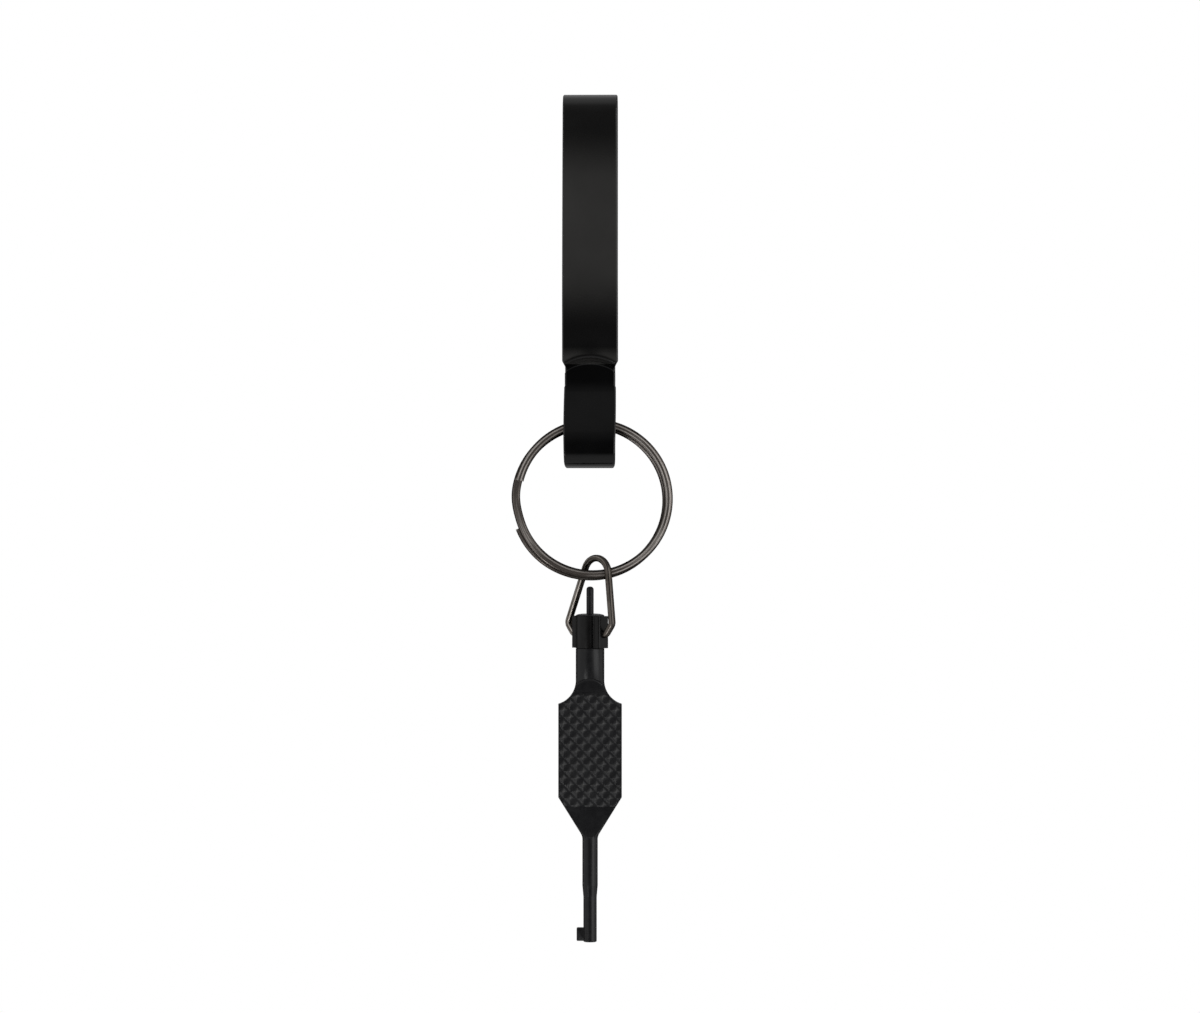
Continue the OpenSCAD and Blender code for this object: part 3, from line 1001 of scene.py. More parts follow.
    def half_width(self, way: float) -> float:
        """Return half the strip's width at a length along it.

        The strip widens a little down the panel, narrows at the panel's lower corners and in the bottom bend,
        and bellies out slightly between the bend and the tongue's tip.

        Args:
            way: Length along the strip from the end of the back leg.

        Returns:
            The half width there.
        """
        down = min(max((way - self.back_length) / self.panel_length, 0.0), 1.0)
        panel = self.panel_width + self.widening * (down - self.even_share)
        hook = self.hook_width
        past = way - self.bend_way
        hook -= self.bend_narrowing * math.exp(-(past / self.bend_reach) ** 2)
        if past > 0:
            hook += self.belly * math.sin(math.pi * min(past / self.belly_length, 1.0))
        start, over = (share * self.joggle_length for share in (self.narrowing_start, self.narrowing_length))
        share = eased((way - self.panel.length - start) / over)
        return (panel + (hook - panel) * share) / 2

    def section(self, half: float, thick: float, rim: float) -> list[Point2]:
        """Draw the outer half of the strip's section.

        Args:
            half: Half its width.
            thick: Half its thickness.
            rim: Radius of its rounded edges.

        Returns:
            Points from one side at mid thickness, over the outer face, to the other side.
        """
        quarter = [math.radians(a) for a in spread(0, 90, 90 / self.rim_steps)]
        right = [(half - rim + rim * math.cos(a), thick - rim + rim * math.sin(a)) for a in quarter]
        flat = [((half - rim) * (1 - 2 * k / self.columns), thick) for k in range(1, self.columns)]
        return [(half, 0.0)] + right + flat + [(-x, n) for x, n in reversed(right)] + [(-half, 0.0)]

    def rows(self) -> list[tuple[float, ...]]:
        """List the cross rows from the back leg's end to the tongue's tip.

        Returns:
            Length, half width, half thickness, rim radius, share of the end's arch and the arch's radius.
        """
        thick, rim, reach, total = self.strip / 2, self.rim, self.end_reach, self.total
        leg = total - self.hook.length
        marks = self.panel.stations(self.straight_step, self.bend_step)[1:]
        marks += spread(self.panel.length, leg, self.joggle_rows)[1:]
        marks += [leg + m for m in self.hook.stations(self.hook_step, self.bend_step)][1:]
        inner = [reach] + [m for m in marks if reach < m < total - reach] + [total - reach]
        rows = [(m, self.half_width(m), thick, rim, 0.0, self.tip_radius) for m in inner]
        depths = spread(reach - self.end_rows, self.corner, self.end_rows)
        depths += spread(self.corner, rim, self.corner_rows)[1:]
        steps = [(depth, 0.0) for depth in depths]
        turns = [math.radians(angle) for angle in spread(0, 90, self.end_turn)[1:]]
        steps += [(rim * (1 - math.sin(a)), rim * (1 - math.cos(a))) for a in turns]
        for radius, end, sign in ((self.back_end_radius, 0.0, -1), (self.tip_radius, total, 1)):
            wide = self.half_width(end)
            made = [(end - sign * depth, self.cornered(wide, depth), thick - shrink,
                     max(rim - shrink, self.least_rim), -sign * (1 - depth / reach), radius)
                    for depth, shrink in steps]
            rows = made[::-1] + rows if sign < 0 else rows + made
        return rows

    def cornered(self, wide: float, depth: float) -> float:
        """Return the half width at a depth from the strip's end, where its corners are rounded."""
        left = max(self.corner - depth, 0.0)
        return wide - self.corner + math.sqrt(max(self.corner ** 2 - left ** 2, 0.0))

    def build(self) -> None:
        """Loft the strip through its rows and dress it."""
        shape = bmesh.new()
        edge = shape.verts.layers.float.new(Wear.ATTRIBUTE)
        crease_shade = shape.verts.layers.float.new(SatinAndPaintedSheenZone.CREASE_SHADE)
        loops: list[list[bmesh.types.BMVert]] = []
        for way, half, thick, rim, share, radius in self.rows():
            outer = self.section(half, thick, rim)
            loop = []
            for x, n in outer + [(x, -n) for x, n in reversed(outer[1:-1])]:
                vert = shape.verts.new(self.point(x, way + share * self.arch_drop(x, radius), n))
                at_side = abs(x) > half - 0.8 * rim and abs(n) > 0.1 * thick
                vert[edge] = 1.0 if at_side or thick < 0.95 * self.strip / 2 else 0.0
                # painted shade line along the joggle's crease, stored for the clip's finish
                down = way - self.panel.length - self.arch_drop(x, self.lip_radius)
                vert[crease_shade] = math.exp(-((down - self.crease_shade_drop) / self.crease_shade_reach) ** 2)
                loop.append(vert)
            loops.append(loop)
        skin(shape, loops)
        for loop in (loops[0], loops[-1]):
            for k in range(len(loop) // 2):
                face = [loop[k], loop[k + 1], loop[-k - 1], loop[-k]] if k else [loop[0], loop[1], loop[-1]]
                shape.faces.new(list(dict.fromkeys(face)))
        piece = mesh_from("clip_strip", shape)
        smoothed(piece, 60.0)
        dress(piece, GLOSS_BLACK, Body.CLIP, "belt_clip")


class WireTree(NodeGroup):
    """Geometry tree that sweeps an oval section along a curve; a roundness under 1 squares the oval up."""

    NAME = "swept_wire"
    KIND = "GeometryNodeTree"
    INPUTS = {"Geometry": "Geometry", "Wire width": 2 * MM, "Wire thickness": 1 * MM, "Roundness": 1.0,
              "Turn about X": 0.0, "Turn about Z": 0.0, "Place": "Vector", "Material": "Material"}
    OUTPUTS = {"Geometry": "Geometry"}
    AROUND = "wire_around"
    ALONG = "wire_along"
    SIDES = 32
    PER_METRE = 100.0

    @classmethod
    def filled(cls, tree: Tree, *inputs: Socket) -> Sequence[Socket]:
        """Build the nodes; the places round the wire and along it, in centimetres, are stored on the mesh.

        Args:
            tree: The group's tree.
            inputs: The sockets of INPUTS, in their order.

        Returns:
            The sockets for OUTPUTS, in their order.
        """
        curve, width, thickness, roundness, turn_x, turn_z, place, material = inputs
        circle_line = tree.node("GeometryNodeCurvePrimitiveCircle", {"Resolution": cls.SIDES, "Radius": 1.0})
        sides = [tree.product(tree.maths("SIGN", value), 0.5, size,
                              tree.maths("POWER", tree.maths("ABSOLUTE", value), roundness))
                 for value, size in zip(tree.split(tree.node("GeometryNodeInputPosition").outputs[0]),
                                        (width, thickness))]
        oval = tree.node("GeometryNodeSetPosition", {"Geometry": circle_line.outputs[0],
                                                     "Position": tree.vector(*sides)})
        around = tree.node("GeometryNodeSplineParameter").outputs["Factor"]
        section = tree.node("GeometryNodeStoreNamedAttribute",
                            {"Geometry": oval.outputs[0], "Name": cls.AROUND, "Value": around})
        along = tree.node("GeometryNodeSplineParameter").outputs["Length"]
        upright = tree.node("GeometryNodeSetCurveNormal", {0: curve})
        cls.set_upright(upright)
        path = tree.node("GeometryNodeStoreNamedAttribute",
                         {"Geometry": upright.outputs[0], "Name": cls.ALONG,
                          "Value": tree.product(along, cls.PER_METRE)})
        swept = tree.node("GeometryNodeCurveToMesh", {
            "Curve": path.outputs[0], "Profile Curve": section.outputs[0], "Fill Caps": True})
        placed = tree.moved(swept.outputs[0], place, tree.vector(x=turn_x, z=turn_z))
        return (tree.dressed(placed, material),)

    @staticmethod
    def set_upright(node: bpy.types.Node) -> None:
        """Let a curve-normal node keep the section upright."""
        if "Mode" in node.inputs:
            node.inputs["Mode"].default_value = "Z Up"
        else:
            node.mode = "Z_UP"


def open_curve(name: str, points: Sequence[Sequence[float]]) -> bpy.types.Curve:
    """Make a curve of one open spline.

    Args:
        name: The curve's name.
        points: Its points.

    Returns:
        The curve.
    """
    curve = bpy.data.curves.new(name, "CURVE")
    curve.dimensions = "3D"
    spline = curve.splines.new("POLY")
    spline.points.add(len(points) - 1)
    for spot, point in zip(spline.points, points):
        spot.co = (*point, 1.0)
    return curve


def wire_piece(name: str, points: Sequence[Sequence[float]], finish: Finish, worn: float,
               sizes: dict[str, object]) -> Piece:
    """Sweep a wire along a line of points that are drawn flat and stand up in the frame.

    Args:
        name: Name of the piece.
        points: Points of its middle, from end to end.
        finish: Its finish.
        worn: Wear of the edges at its cut ends.
        sizes: Other inputs of the wire's tree, by name.

    Returns:
        The wire.
    """
    values = {"Turn about X": math.pi / 2, "Material": finish.material(), **sizes}
    piece = from_tree(name, WireTree.group(), values, open_curve(name + "_path", points))
    smoothed(piece, 50.0)
    mark_edges(piece, 60.0, worn)
    return piece


@dataclass
class SplitRing:
    """The split ring: one flat wire of two turns that crosses from back to front at the left."""

    outer_radius: float = 20 * MM
    wire_width: float = 2.12 * MM
    wire_thickness: float = 1.16 * MM
    roundness: float = 0.62
    level: float = 0.68 * MM
    stray: float = 0.33 * MM
    stray_angle: float = 43.0
    stray_inset: float = 0.82
    flare: float = 0.2 * MM
    flare_angle: float = 70.0
    end_angle: float = 201.0
    cross_angle: float = 35.0
    step: float = 2.5

    def path(self) -> list[Vector]:
        """Work out the wire's centreline about the ring's own axis.

        Returns:
            Points with the ring's plane as XY and its front as +Z.
        """
        radius = self.outer_radius - self.wire_width / 2 - self.stray_inset * self.stray
        first = 360 - self.cross_angle
        stray = Vector((*polar(1.0, self.stray_angle), 0))
        points = []
        for turn in spread(0.0, 360 + first, self.step):
            side = 2 * eased((turn - first) / self.cross_angle) - 1
            sprung = radius + self.flare * (1 - eased(turn / self.flare_angle))
            spot = Vector((*polar(sprung, self.end_angle + turn), side * self.level))
            points.append(spot + stray * (side * self.stray))
        return points

    def build(self) -> None:
        """Sweep the wire and dress it."""
        low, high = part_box("split_ring")
        piece = wire_piece("ring_wire", self.path(), BLACK_NICKEL, 1.0, {
            "Wire width": self.wire_width, "Wire thickness": self.wire_thickness, "Roundness": self.roundness,
            "Place": (low + high) / 2})
        dress(piece, BLACK_NICKEL, Body.RING, "split_ring")


# How far the collar's ears reach from the key's axis, and how far the swivel is turned about it.
EAR_REACH = 4.58 * MM
SWIVEL_TURN = 40.0


@dataclass
class SwivelBail:
    """The bail: a bent wire whose feet turn in the collar's ears."""

    wire: float = 1.65 * MM
    roundness: float = 0.8
    arch_radius: float = 3.9 * MM
    height: float = 18.8 * MM
    lean: float = 2.1 * MM
    corner_height: float = 2.6 * MM
    corner_reach: float = 2.0 * MM
    corner_radius: float = 1.6 * MM
    foot_radius: float = 1.2 * MM
    foot_end: float = 3.1 * MM
    ear: float = EAR_REACH
    foot_out: float = 0.1 * MM
    turn: float = SWIVEL_TURN
    straight_step: float = 0.8 * MM
    bend_step: float = 6.0

    def side(self, shift: float) -> list[Move]:
        """List one side's moves, from the ear to the arch.

        Args:
            shift: Lean of the arch towards this side.

        Returns:
            The moves.
        """
        rise = math.degrees(math.atan2(self.corner_height, self.corner_reach))
        corner = self.ear + self.foot_out + self.trim(self.foot_radius, rise) + self.corner_reach
        line = Vector((shift - corner, self.height - self.arch_radius - self.corner_height))
        heading = math.degrees(math.atan2(line.y, line.x) - math.asin(self.arch_radius / line.length))
        turn = heading - rise
        reach = math.hypot(self.corner_reach, self.corner_height)
        leg = math.sqrt(line.length_squared - self.arch_radius ** 2)
        return [Move(self.foot_radius, rise),
                Move(reach - self.trim(self.foot_radius, rise) - self.trim(self.corner_radius, turn)),
                Move(self.corner_radius, turn), Move(leg - self.trim(self.corner_radius, turn))]

    @staticmethod
    def trim(radius: float, turn: float) -> float:
        """Return how much of a straight a bend of a radius and a turn takes."""
        return radius * math.tan(math.radians(turn) / 2)

    def build(self) -> None:
        """Sweep the wire and dress it."""
        right, left = self.side(self.lean), self.side(-self.lean)
        turned_so_far = sum(move.turn for move in right + left)
        foot = self.ear + self.foot_out - self.foot_end
        moves = [Move(foot), *right, Move(self.arch_radius, 360 - turned_so_far), *left[::-1], Move(foot)]
        line = Centreline((self.foot_end, 0.0), 0.0, moves)
        points = [(*line.at(way)[0], 0.0) for way in line.stations(self.straight_step, self.bend_step)]
        piece = wire_piece("bail_wire", points, BAIL_NICKEL, 0.3, {
            "Wire width": self.wire, "Wire thickness": self.wire, "Roundness": self.roundness,
            "Turn about Z": -math.radians(self.turn), "Place": joint_place("collar_swing")})
        dress(piece, BAIL_NICKEL, Body.BAIL, "swivel_bail")


@dataclass
class SwivelCollar:
    """The collar: a strap folded round the key's neck, with an ear on each side for the bail."""

    inner_radius: float = 2.58 * MM
    outer_radius: float = 3.58 * MM
    ear: float = EAR_REACH
    ear_width: float = 3.7 * MM
    ear_root: float = 6.0
    ear_corner: float = 0.5 * MM
    hole_radius: float = 0.885 * MM
    hole_sides: int = 48
    seam_angle: float = 50.0
    seam: float = 0.4 * MM
    turn: float = SWIVEL_TURN
    hollow: float = 0.45 * MM
    lip: float = 0.12 * MM
    arc_step: float = 4.0
    axis: Vector = field(init=False)

    def __post_init__(self) -> None:
        """Find the axis of the ears."""
        self.axis = joint_place("collar_swing")

    def arc(self, radius: float, first: float, last: float) -> list[Corner]:
        """Return the points of an arc about the key's axis, from one angle to another."""
        return [(*polar(radius, angle), 0.0) for angle in spread(first, last, self.arc_step)]

    def ear_corners(self, side: int) -> list[Corner]:
        """Draw an ear from above.

        Args:
            side: 1 for the right ear and -1 for the left one.

        Returns:
            Its corners, each with its rounding.
        """
        half, tip = self.ear_width / 2, side * self.ear
        base = side * math.sqrt(self.outer_radius ** 2 - half ** 2)
        return [(base, -side * half, self.hollow), (tip, -side * half, self.ear_corner),
                (tip, side * half, self.ear_corner), (base, side * half, self.hollow)]

    def outline(self) -> list[Point2]:
        """Draw the collar from above, about the key's axis, with the ears along X.

        Returns:
            The outline's points, with the seam as a slot to the inside.
        """
        outer, inner = self.outer_radius, self.inner_radius
        root = math.degrees(math.asin(self.ear_width / 2 / outer)) + self.ear_root
        seam = self.seam_angle - 90
        gap, wide = (math.degrees(self.seam / 2 / radius) for radius in (outer, inner))
        corners = self.arc(outer, seam + gap, -root) + self.ear_corners(1)
        corners += self.arc(outer, root, 180 - root) + self.ear_corners(-1)
        corners += self.arc(outer, 180 + root, 360 + seam - gap)
        corners += self.arc(inner, 360 + seam - wide, seam + wide)
        return rounded(corners, closed=True, steps=5)

    def placed(self, across: float, deep: float, height: float) -> Vector:
        """Place a point from the collar's own axes in the frame."""
        spin = Matrix.Rotation(-math.radians(self.turn), 3, "Z")
        return spin @ Vector((across, deep, 0)) + Vector((self.axis.x, self.axis.y, height))

    def build(self) -> None:
        """Extrude the collar, drill its ears, round its edges and dress it."""
        low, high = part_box("swivel_collar")
        piece = prism("collar_strap", self.outline(), low.z, high.z, self.placed)
        drill = prism("drill", circle(self.hole_radius, self.hole_sides), -2 * self.ear, 2 * self.ear,
                      lambda a, b, h: self.placed(h, a, self.axis.z + b))
        carved(piece, [drill], Carving.CUT)
        eased_edges(piece, self.lip, 40.0, 3)
        smoothed(piece, 40.0)
        dress(piece, COLLAR_BLACK, Body.COLLAR, "swivel_collar")


class KnurlTree(NodeGroup):
    """Geometry tree that sets pyramids with low feet and steeper peaks in staggered rows."""

    NAME = "staggered_pyramids"
    KIND = "GeometryNodeTree"
    INPUTS = {"Pitch across": 3 * MM, "Pitch along": 3 * MM, "Columns": 7.0, "Rows": 11.0,
              "Foot height": 0.1 * MM, "Peak height": 0.3 * MM, "Peak share": 0.5, "Flat top share": 0.1,
              "Material": "Material"}
    OUTPUTS = {"Geometry": "Geometry"}

    @classmethod
    def filled(cls, tree: Tree, *inputs: Socket) -> Sequence[Socket]:
        """Build the nodes; a second grid of pyramids fills the gaps of the first.

        Args:
            tree: The group's tree.
            inputs: The sockets of INPUTS, in their order.

        Returns:
            The sockets for OUTPUTS, in their order.
        """
        across, along, columns, rows, foot_height, peak_height, peak_share, flat_share, material = inputs
        grid = tree.node("GeometryNodeMeshGrid", {
            "Size X": tree.product(tree.maths("SUBTRACT", columns, 1.0), across),
            "Size Y": tree.product(tree.maths("SUBTRACT", rows, 1.0), along),
            "Vertices X": columns, "Vertices Y": rows}).outputs[0]
        between = tree.moved(grid, tree.vector(tree.product(across, 0.5), tree.product(along, 0.5)))
        waist, flat = tree.product(peak_share, 0.5), tree.product(flat_share, 0.5)
        cones = ((waist, 0.5, foot_height, "NONE"), (flat, waist, peak_height, "NGON"))
        foot, peak = (tree.node("GeometryNodeMeshCone", {
            "Vertices": 4, "Radius Top": top, "Radius Bottom": bottom, "Depth": height},
            fill_type=ends).outputs[0] for top, bottom, height, ends in cones)
        pyramid = tree.joined(tree.moved(peak, tree.vector(z=foot_height)), foot)
        placed = tree.node("GeometryNodeInstanceOnPoints", {
            "Points": tree.joined(between, grid), "Instance": pyramid,
            "Scale": tree.vector(across, along, 1.0)})
        return (tree.dressed(placed.outputs[0], material),)


@dataclass
class CuffKey:
    """The key: a turned blank with milled flats and knurled faces, its bit, and the double-lock pin."""

    neck: float = 3.53 * MM
    head: float = 0.5 * MM
    dome: float = 1.3 * MM
    groove: float = 2.5 * MM
    end_play: float = 0.06 * MM
    neck_length: float = 9.65 * MM
    shoulder: float = 4.1 * MM
    shoulder_drop: float = 5.8 * MM
    grip: float = 7.85 * MM
    grip_length: float = 23.1 * MM
    grip_thick: float = 1.6 * MM
    taper: float = 9.6 * MM
    taper_radius: float = 3.0 * MM
    shank: float = 1.9 * MM
    shank_length: float = 12.1 * MM
    cone: float = 2.9 * MM
    tip: float = 1.65 * MM
    tip_edge: float = 0.28 * MM
    cutter_radius: float = 5.1 * MM
    cutter_nose: float = 0.8 * MM
    cutter_tail: float = 1.6
    cutter_lift: float = 0.004 * MM
    runout: float = 2.3 * MM
    lower_runout: float = 0.55 * MM
    post_hole: float = 1.0 * MM
    post_depth: float = 7.0 * MM
    pin: float = 0.9 * MM
    pin_length: float = 6.7 * MM
    pin_seat: float = 5.0 * MM
    bit_reach: float = 3.3 * MM
    bit_height: float = 3.2 * MM
    bit_half: float = 0.8 * MM
    bit_lift: float = 0.3 * MM
    knurl_columns: int = 9
    knurl_rows: int = 13
    knurl_margin: float = 0.3 * MM
    knurl_over: float = 2.3 * MM
    knurl_relief: float = 0.25 * MM
    knurl_depth: float = 0.13 * MM
    knurl_foot: float = 0.32
    knurl_peak: float = 0.56
    knurl_flat: float = 0.07
    pitch_across: float = 3.25 * MM
    pitch_along: float = 3.35 * MM
    edge: float = 0.15 * MM
    edge_angle: float = 24.0
    dome_angle: float = 82.0
    groove_edge: float = 0.2 * MM
    shoulder_land: float = 0.05 * MM
    side_corner: float = 0.3 * MM
    cone_bend: float = 1.5 * MM
    post_edge: float = 0.1 * MM
    bit_corner: float = 0.25 * MM
    pin_round: float = 0.85
    grip_sides: int = 128
    neck_sides: int = 96
    shank_sides: int = 64
    pin_sides: int = 48
    overlap: float = 1 * MM
    hair: float = 0.01 * MM
    weld: float = 0.004 * MM
    axis: Vector = field(init=False)

    def __post_init__(self) -> None:
        """Work out the heights from the collar and the key's end."""
        low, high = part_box("swivel_collar")
        self.axis = joint_place("key_spin")
        self.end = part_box("key_body")[0].z
        self.head_z = high.z + self.end_play
        self.top = self.head_z + self.head
        self.groove_z = low.z - self.end_play
        self.neck_z = self.groove_z - self.neck_length
        self.shoulder_z = self.neck_z - self.shoulder
        self.side_z = self.shoulder_z - self.grip_length
        self.shank_z = self.side_z - self.taper
        self.cone_z = self.shank_z - self.shank_length
        self.thin_z = self.cone_z - self.cone
        self.field_depth = self.grip_thick - self.knurl_depth
        self.field_height = self.knurl_relief + self.knurl_depth

    def neck_profile(self) -> list[Point2]:
        """Draw the domed head, the collar's groove and the neck, from the bottom of the pin's hole down.

        Returns:
            Radius and height of each point.
        """
        below = self.neck_z - self.overlap
        dome = [(self.dome + (self.neck - self.dome) * math.sin(math.radians(a)),
                 self.head_z + self.head * math.cos(math.radians(a))) for a in spread(0, self.dome_angle, 10)]
        rest = rounded([
            (self.neck, self.head_z, 0.0), (self.groove, self.head_z, 0.0), (self.groove, self.groove_z, 0.0),
            (self.neck, self.groove_z, self.groove_edge), (self.neck, below, 0.0), (0.0, below, 0.0)],
            closed=False)
        return [(0.0, self.top - self.pin_seat), (self.pin, self.top - self.pin_seat),
                (self.pin, self.top), *dome, *rest]

    def shoulder_arc(self) -> tuple[float, float]:
        """Return the turn in degrees and the radius of the hollow shoulder from the neck to the grip."""
        turn = 2 * math.degrees(math.atan((self.grip - self.neck) / self.shoulder_drop))
        return turn, self.shoulder_drop / math.sin(math.radians(turn))

    def grip_profile(self) -> list[Point2]:
        """Draw the turned grip, with hollow curves from the neck and into the shank.

        Returns:
            Radius and height of each point.
        """
        neck, shank = self.neck - self.hair, self.shank - self.hair
        turn, radius = self.shoulder_arc()
        start = self.shoulder_z + self.shoulder_drop
        flare = [(neck + radius - x, start - z) for x, z in (polar(radius, a) for a in spread(0, turn, 6))]
        foot = self.shank_z - 3 * self.overlap
        rest = rounded([
            (self.grip, self.shoulder_z - self.shoulder_land, 0.0),
            (self.grip, self.side_z, self.side_corner), (shank, self.shank_z, self.taper_radius),
            (shank, foot, 0.0), (0.0, foot, 0.0)], closed=False, steps=8)
        return [(0.0, start + self.overlap), (neck, start + self.overlap), *flare, *rest]

    def shank_profile(self) -> list[Point2]:
        """Draw the shank and its hollow tip, up to the bottom of the post's hole."""
        top = self.shank_z + 2 * self.overlap
        return rounded([
            (0.0, top, 0.0), (self.shank, top, 0.0), (self.shank, self.cone_z, self.cone_bend),
            (self.tip, self.thin_z, self.cone_bend), (self.tip, self.end, self.tip_edge),
            (self.post_hole, self.end, self.post_edge),
            (self.post_hole, self.end + self.post_depth, 0.0), (0.0, self.end + self.post_depth, 0.0)],
            closed=False, steps=8)

    def front(self, a: float, b: float, h: float) -> Vector:
        """Place a point of a drawing in the front view, at a depth from the key's axis."""
        return Vector((self.axis.x + a, self.axis.y + h, b))

    def cutter(self, crown: float, way: int, face: int) -> Piece:
        """Make the round-nosed cutter that ends a flat: half a disc with a tail towards the grip.

        Args:
            crown: Height of its end.
            way: 1 for the upper end and -1 for the lower one.
            face: -1 for the front flat and 1 for the back flat.

        Returns:
            The cutter.
        """
        nose, low = self.cutter_nose, self.grip_thick + self.cutter_lift
        tail = crown - way * self.cutter_tail * self.cutter_radius
        rows = []
        for a in map(math.radians, spread(0, 90, 15)):
            radius = self.cutter_radius - nose * (1 - math.sin(a))
            arc = [(x, crown - way * (self.cutter_radius - z))
                   for x, z in (polar(radius, angle) for angle in spread(180, 0, 4))]
            rows.append(([*arc, (radius, tail), (-radius, tail)], face * (low + nose * (1 - math.cos(a)))))
        rows.append((rows[-1][0], face * 2 * self.grip))
        return lofted("cutter", rows, self.front)

    def knurl_outline(self, grow: float = 0.0) -> list[Point2]:
        """Draw the knurled field, whose top follows the hollow shoulders.

        Args:
            grow: Distance by which its sides move outwards.

        Returns:
            The outline's points.
        """
        reach = self.knurl_margin - grow
        _, radius = self.shoulder_arc()
        right = []
        for high in spread(self.knurl_over + grow, 0.0, 0.25 * MM):
            cosine = math.sqrt(1 - ((self.shoulder_drop - high) / radius) ** 2)
            right.append((self.neck + radius * (1 - cosine) - reach, self.shoulder_z + high))
        foot = self.grip - self.knurl_over / self.taper * (self.grip - self.shank) - reach
        right += [(self.grip - reach, self.side_z), (foot, self.side_z - self.knurl_over - grow)]
        return right + [(-x, z) for x, z in reversed(right)]

    def knurled_face(self, side: int) -> Piece:
        """Make one knurled field as a closed plate of pyramids.

        Args:
            side: -1 for the front face and 1 for the back face.

        Returns:
            The plate.
        """
        foot = self.knurl_foot * self.field_height
        plain = from_tree("knurl", KnurlTree.group(), {
            "Pitch across": self.pitch_across, "Pitch along": self.pitch_along,
            "Columns": float(self.knurl_columns), "Rows": float(self.knurl_rows), "Foot height": foot,
            "Peak height": self.field_height - foot, "Peak share": self.knurl_peak,
            "Flat top share": self.knurl_flat, "Material": SATIN_BLACK.material()})
        shape = bmesh.new()
        shape.from_mesh(plain.data)
        hidden = [f for f in shape.faces if f.calc_center_median().z < foot + self.hair and f.normal.z < -0.9]
        bmesh.ops.delete(shape, geom=hidden, context="FACES_ONLY")
        middle = (self.shoulder_z + self.side_z) / 2
        for vert in shape.verts:
            x, z, y = vert.co
            vert.co = self.front(x, middle + z, side * (self.field_depth + y))
        bmesh.ops.remove_doubles(shape, verts=shape.verts, dist=self.weld)
        floor = self.axis.y + side * (self.grip_thick - 1.5 * self.knurl_depth)
        rim = [e for e in shape.edges if len(e.link_faces) == 1]
        grown = bmesh.ops.extrude_edge_only(shape, edges=rim)["geom"]
        for vert in (g for g in grown if isinstance(g, bmesh.types.BMVert)):
            vert.co.y = floor
        bottom = [g for g in grown if isinstance(g, bmesh.types.BMEdge)
                  and all(abs(v.co.y - floor) < 0.001 * MM for v in g.verts)]
        bmesh.ops.contextual_create(shape, geom=bottom)
        made = mesh_from("key_knurl_front" if side < 0 else "key_knurl_back", shape)
        discard(plain)
        block = prism("field", self.knurl_outline(), side * 0.5 * self.grip_thick, side * self.grip,
                      self.front)
        return carved(made, [block], Carving.KEEP)

    def mark_tips(self, plate: Piece, side: int) -> None:
        """Store how high each point of a knurled field stands, for the wear of its tips.

        Args:
            plate: The knurled field.
            side: -1 for the front face and 1 for the back face.
        """
        store_wear(plate, "POINT", [
            max((side * (v.co.y - self.axis.y) - self.field_depth) / self.field_height, 0.0)
            for v in plate.data.vertices])

    def blank(self) -> Piece:
        """Turn the blank, mill its flats, sink the knurled fields and add the bit.

        Returns:
            The key's body.
        """
        flat, far = self.grip_thick, 2 * self.grip
        piece = turned("key_blank", self.grip_profile(), self.axis, self.grip_sides)
        slab = [(-far, self.neck_z + far), (far, self.neck_z + far), (far, self.end), (-far, self.end)]
        carved(piece, [prism("slab", slab, -flat, flat, self.front)], Carving.KEEP)
        low = self.end + self.bit_lift
        high = low + self.bit_height
        root, corner = -1.2 * self.post_hole, self.bit_corner
        bit = rounded([(root, low, 0.0), (-self.bit_reach, low, corner), (-self.bit_reach, high, corner),
                       (root, high, 0.0)], closed=True)
        carved(piece, [turned("neck", self.neck_profile(), self.axis, self.neck_sides),
                       turned("shank", self.shank_profile(), self.axis, self.shank_sides),
                       prism("bit", bit, -self.bit_half, self.bit_half, self.front)], Carving.ADD)
        ends = ((self.neck_z + self.runout, 1), (self.shank_z - self.lower_runout, -1))
        carved(piece, [self.cutter(crown, way, face) for face in (-1, 1) for crown, way in ends], Carving.CUT)
        outline = self.knurl_outline(self.hair)
        carved(piece, [prism("pocket", outline, side * self.field_depth, side * far, self.front)
                       for side in (-1, 1)], Carving.CUT)
        return eased_edges(piece, self.edge, self.edge_angle, 2)

    def pin_profile(self) -> list[Point2]:
        """Draw the double-lock pin with its round end.

        Returns:
            Radius and height of each point.
        """
        base = self.top - 0.5 * self.pin_seat
        tip = self.top + self.pin_length
        return rounded([(0.0, base, 0.0), (self.pin, base, 0.0), (self.pin, tip, self.pin_round * self.pin),
                        (0.0, tip, 0.0)], closed=False, steps=10)

    def build(self) -> None:
        """Make the key's pieces and dress them."""
        body = self.blank()
        smoothed(body, 32.0)
        dress(body, SATIN_BLACK, Body.KEY, "key_body")
        for side in (-1, 1):
            face = self.knurled_face(side)
            self.mark_tips(face, side)
            dress(face, SATIN_BLACK, Body.KEY, None)
        pin = turned("lock_pin_dressed", self.pin_profile(), self.axis, self.pin_sides)
        smoothed(pin)
        mark_edges(pin, 30.0, 0.4)
        dress(pin, SATIN_BLACK, Body.KEY, "lock_pin")


@dataclass(frozen=True)
class Bearing:
    """A direction from the object; the azimuth runs from the viewer's side towards the right."""

    azimuth: float
    elevation: float

    @property
    def direction(self) -> Vector:
        """Unit vector away from the object."""
        a, e = math.radians(self.azimuth), math.radians(self.elevation)
        return Vector((math.sin(a) * math.cos(e), -math.cos(a) * math.cos(e), math.sin(e)))


@dataclass(frozen=True)
class Card(Bearing):
    """A soft bright patch of the surround, full up to an inner angle and gone past an outer one."""

    inner: float
    outer: float
    level: float


@dataclass(frozen=True)
class Softbox(Bearing):
    """A rectangular lamp aimed at the object."""

    name: str
    distance: float
    size: tuple[float, float]
    power: float


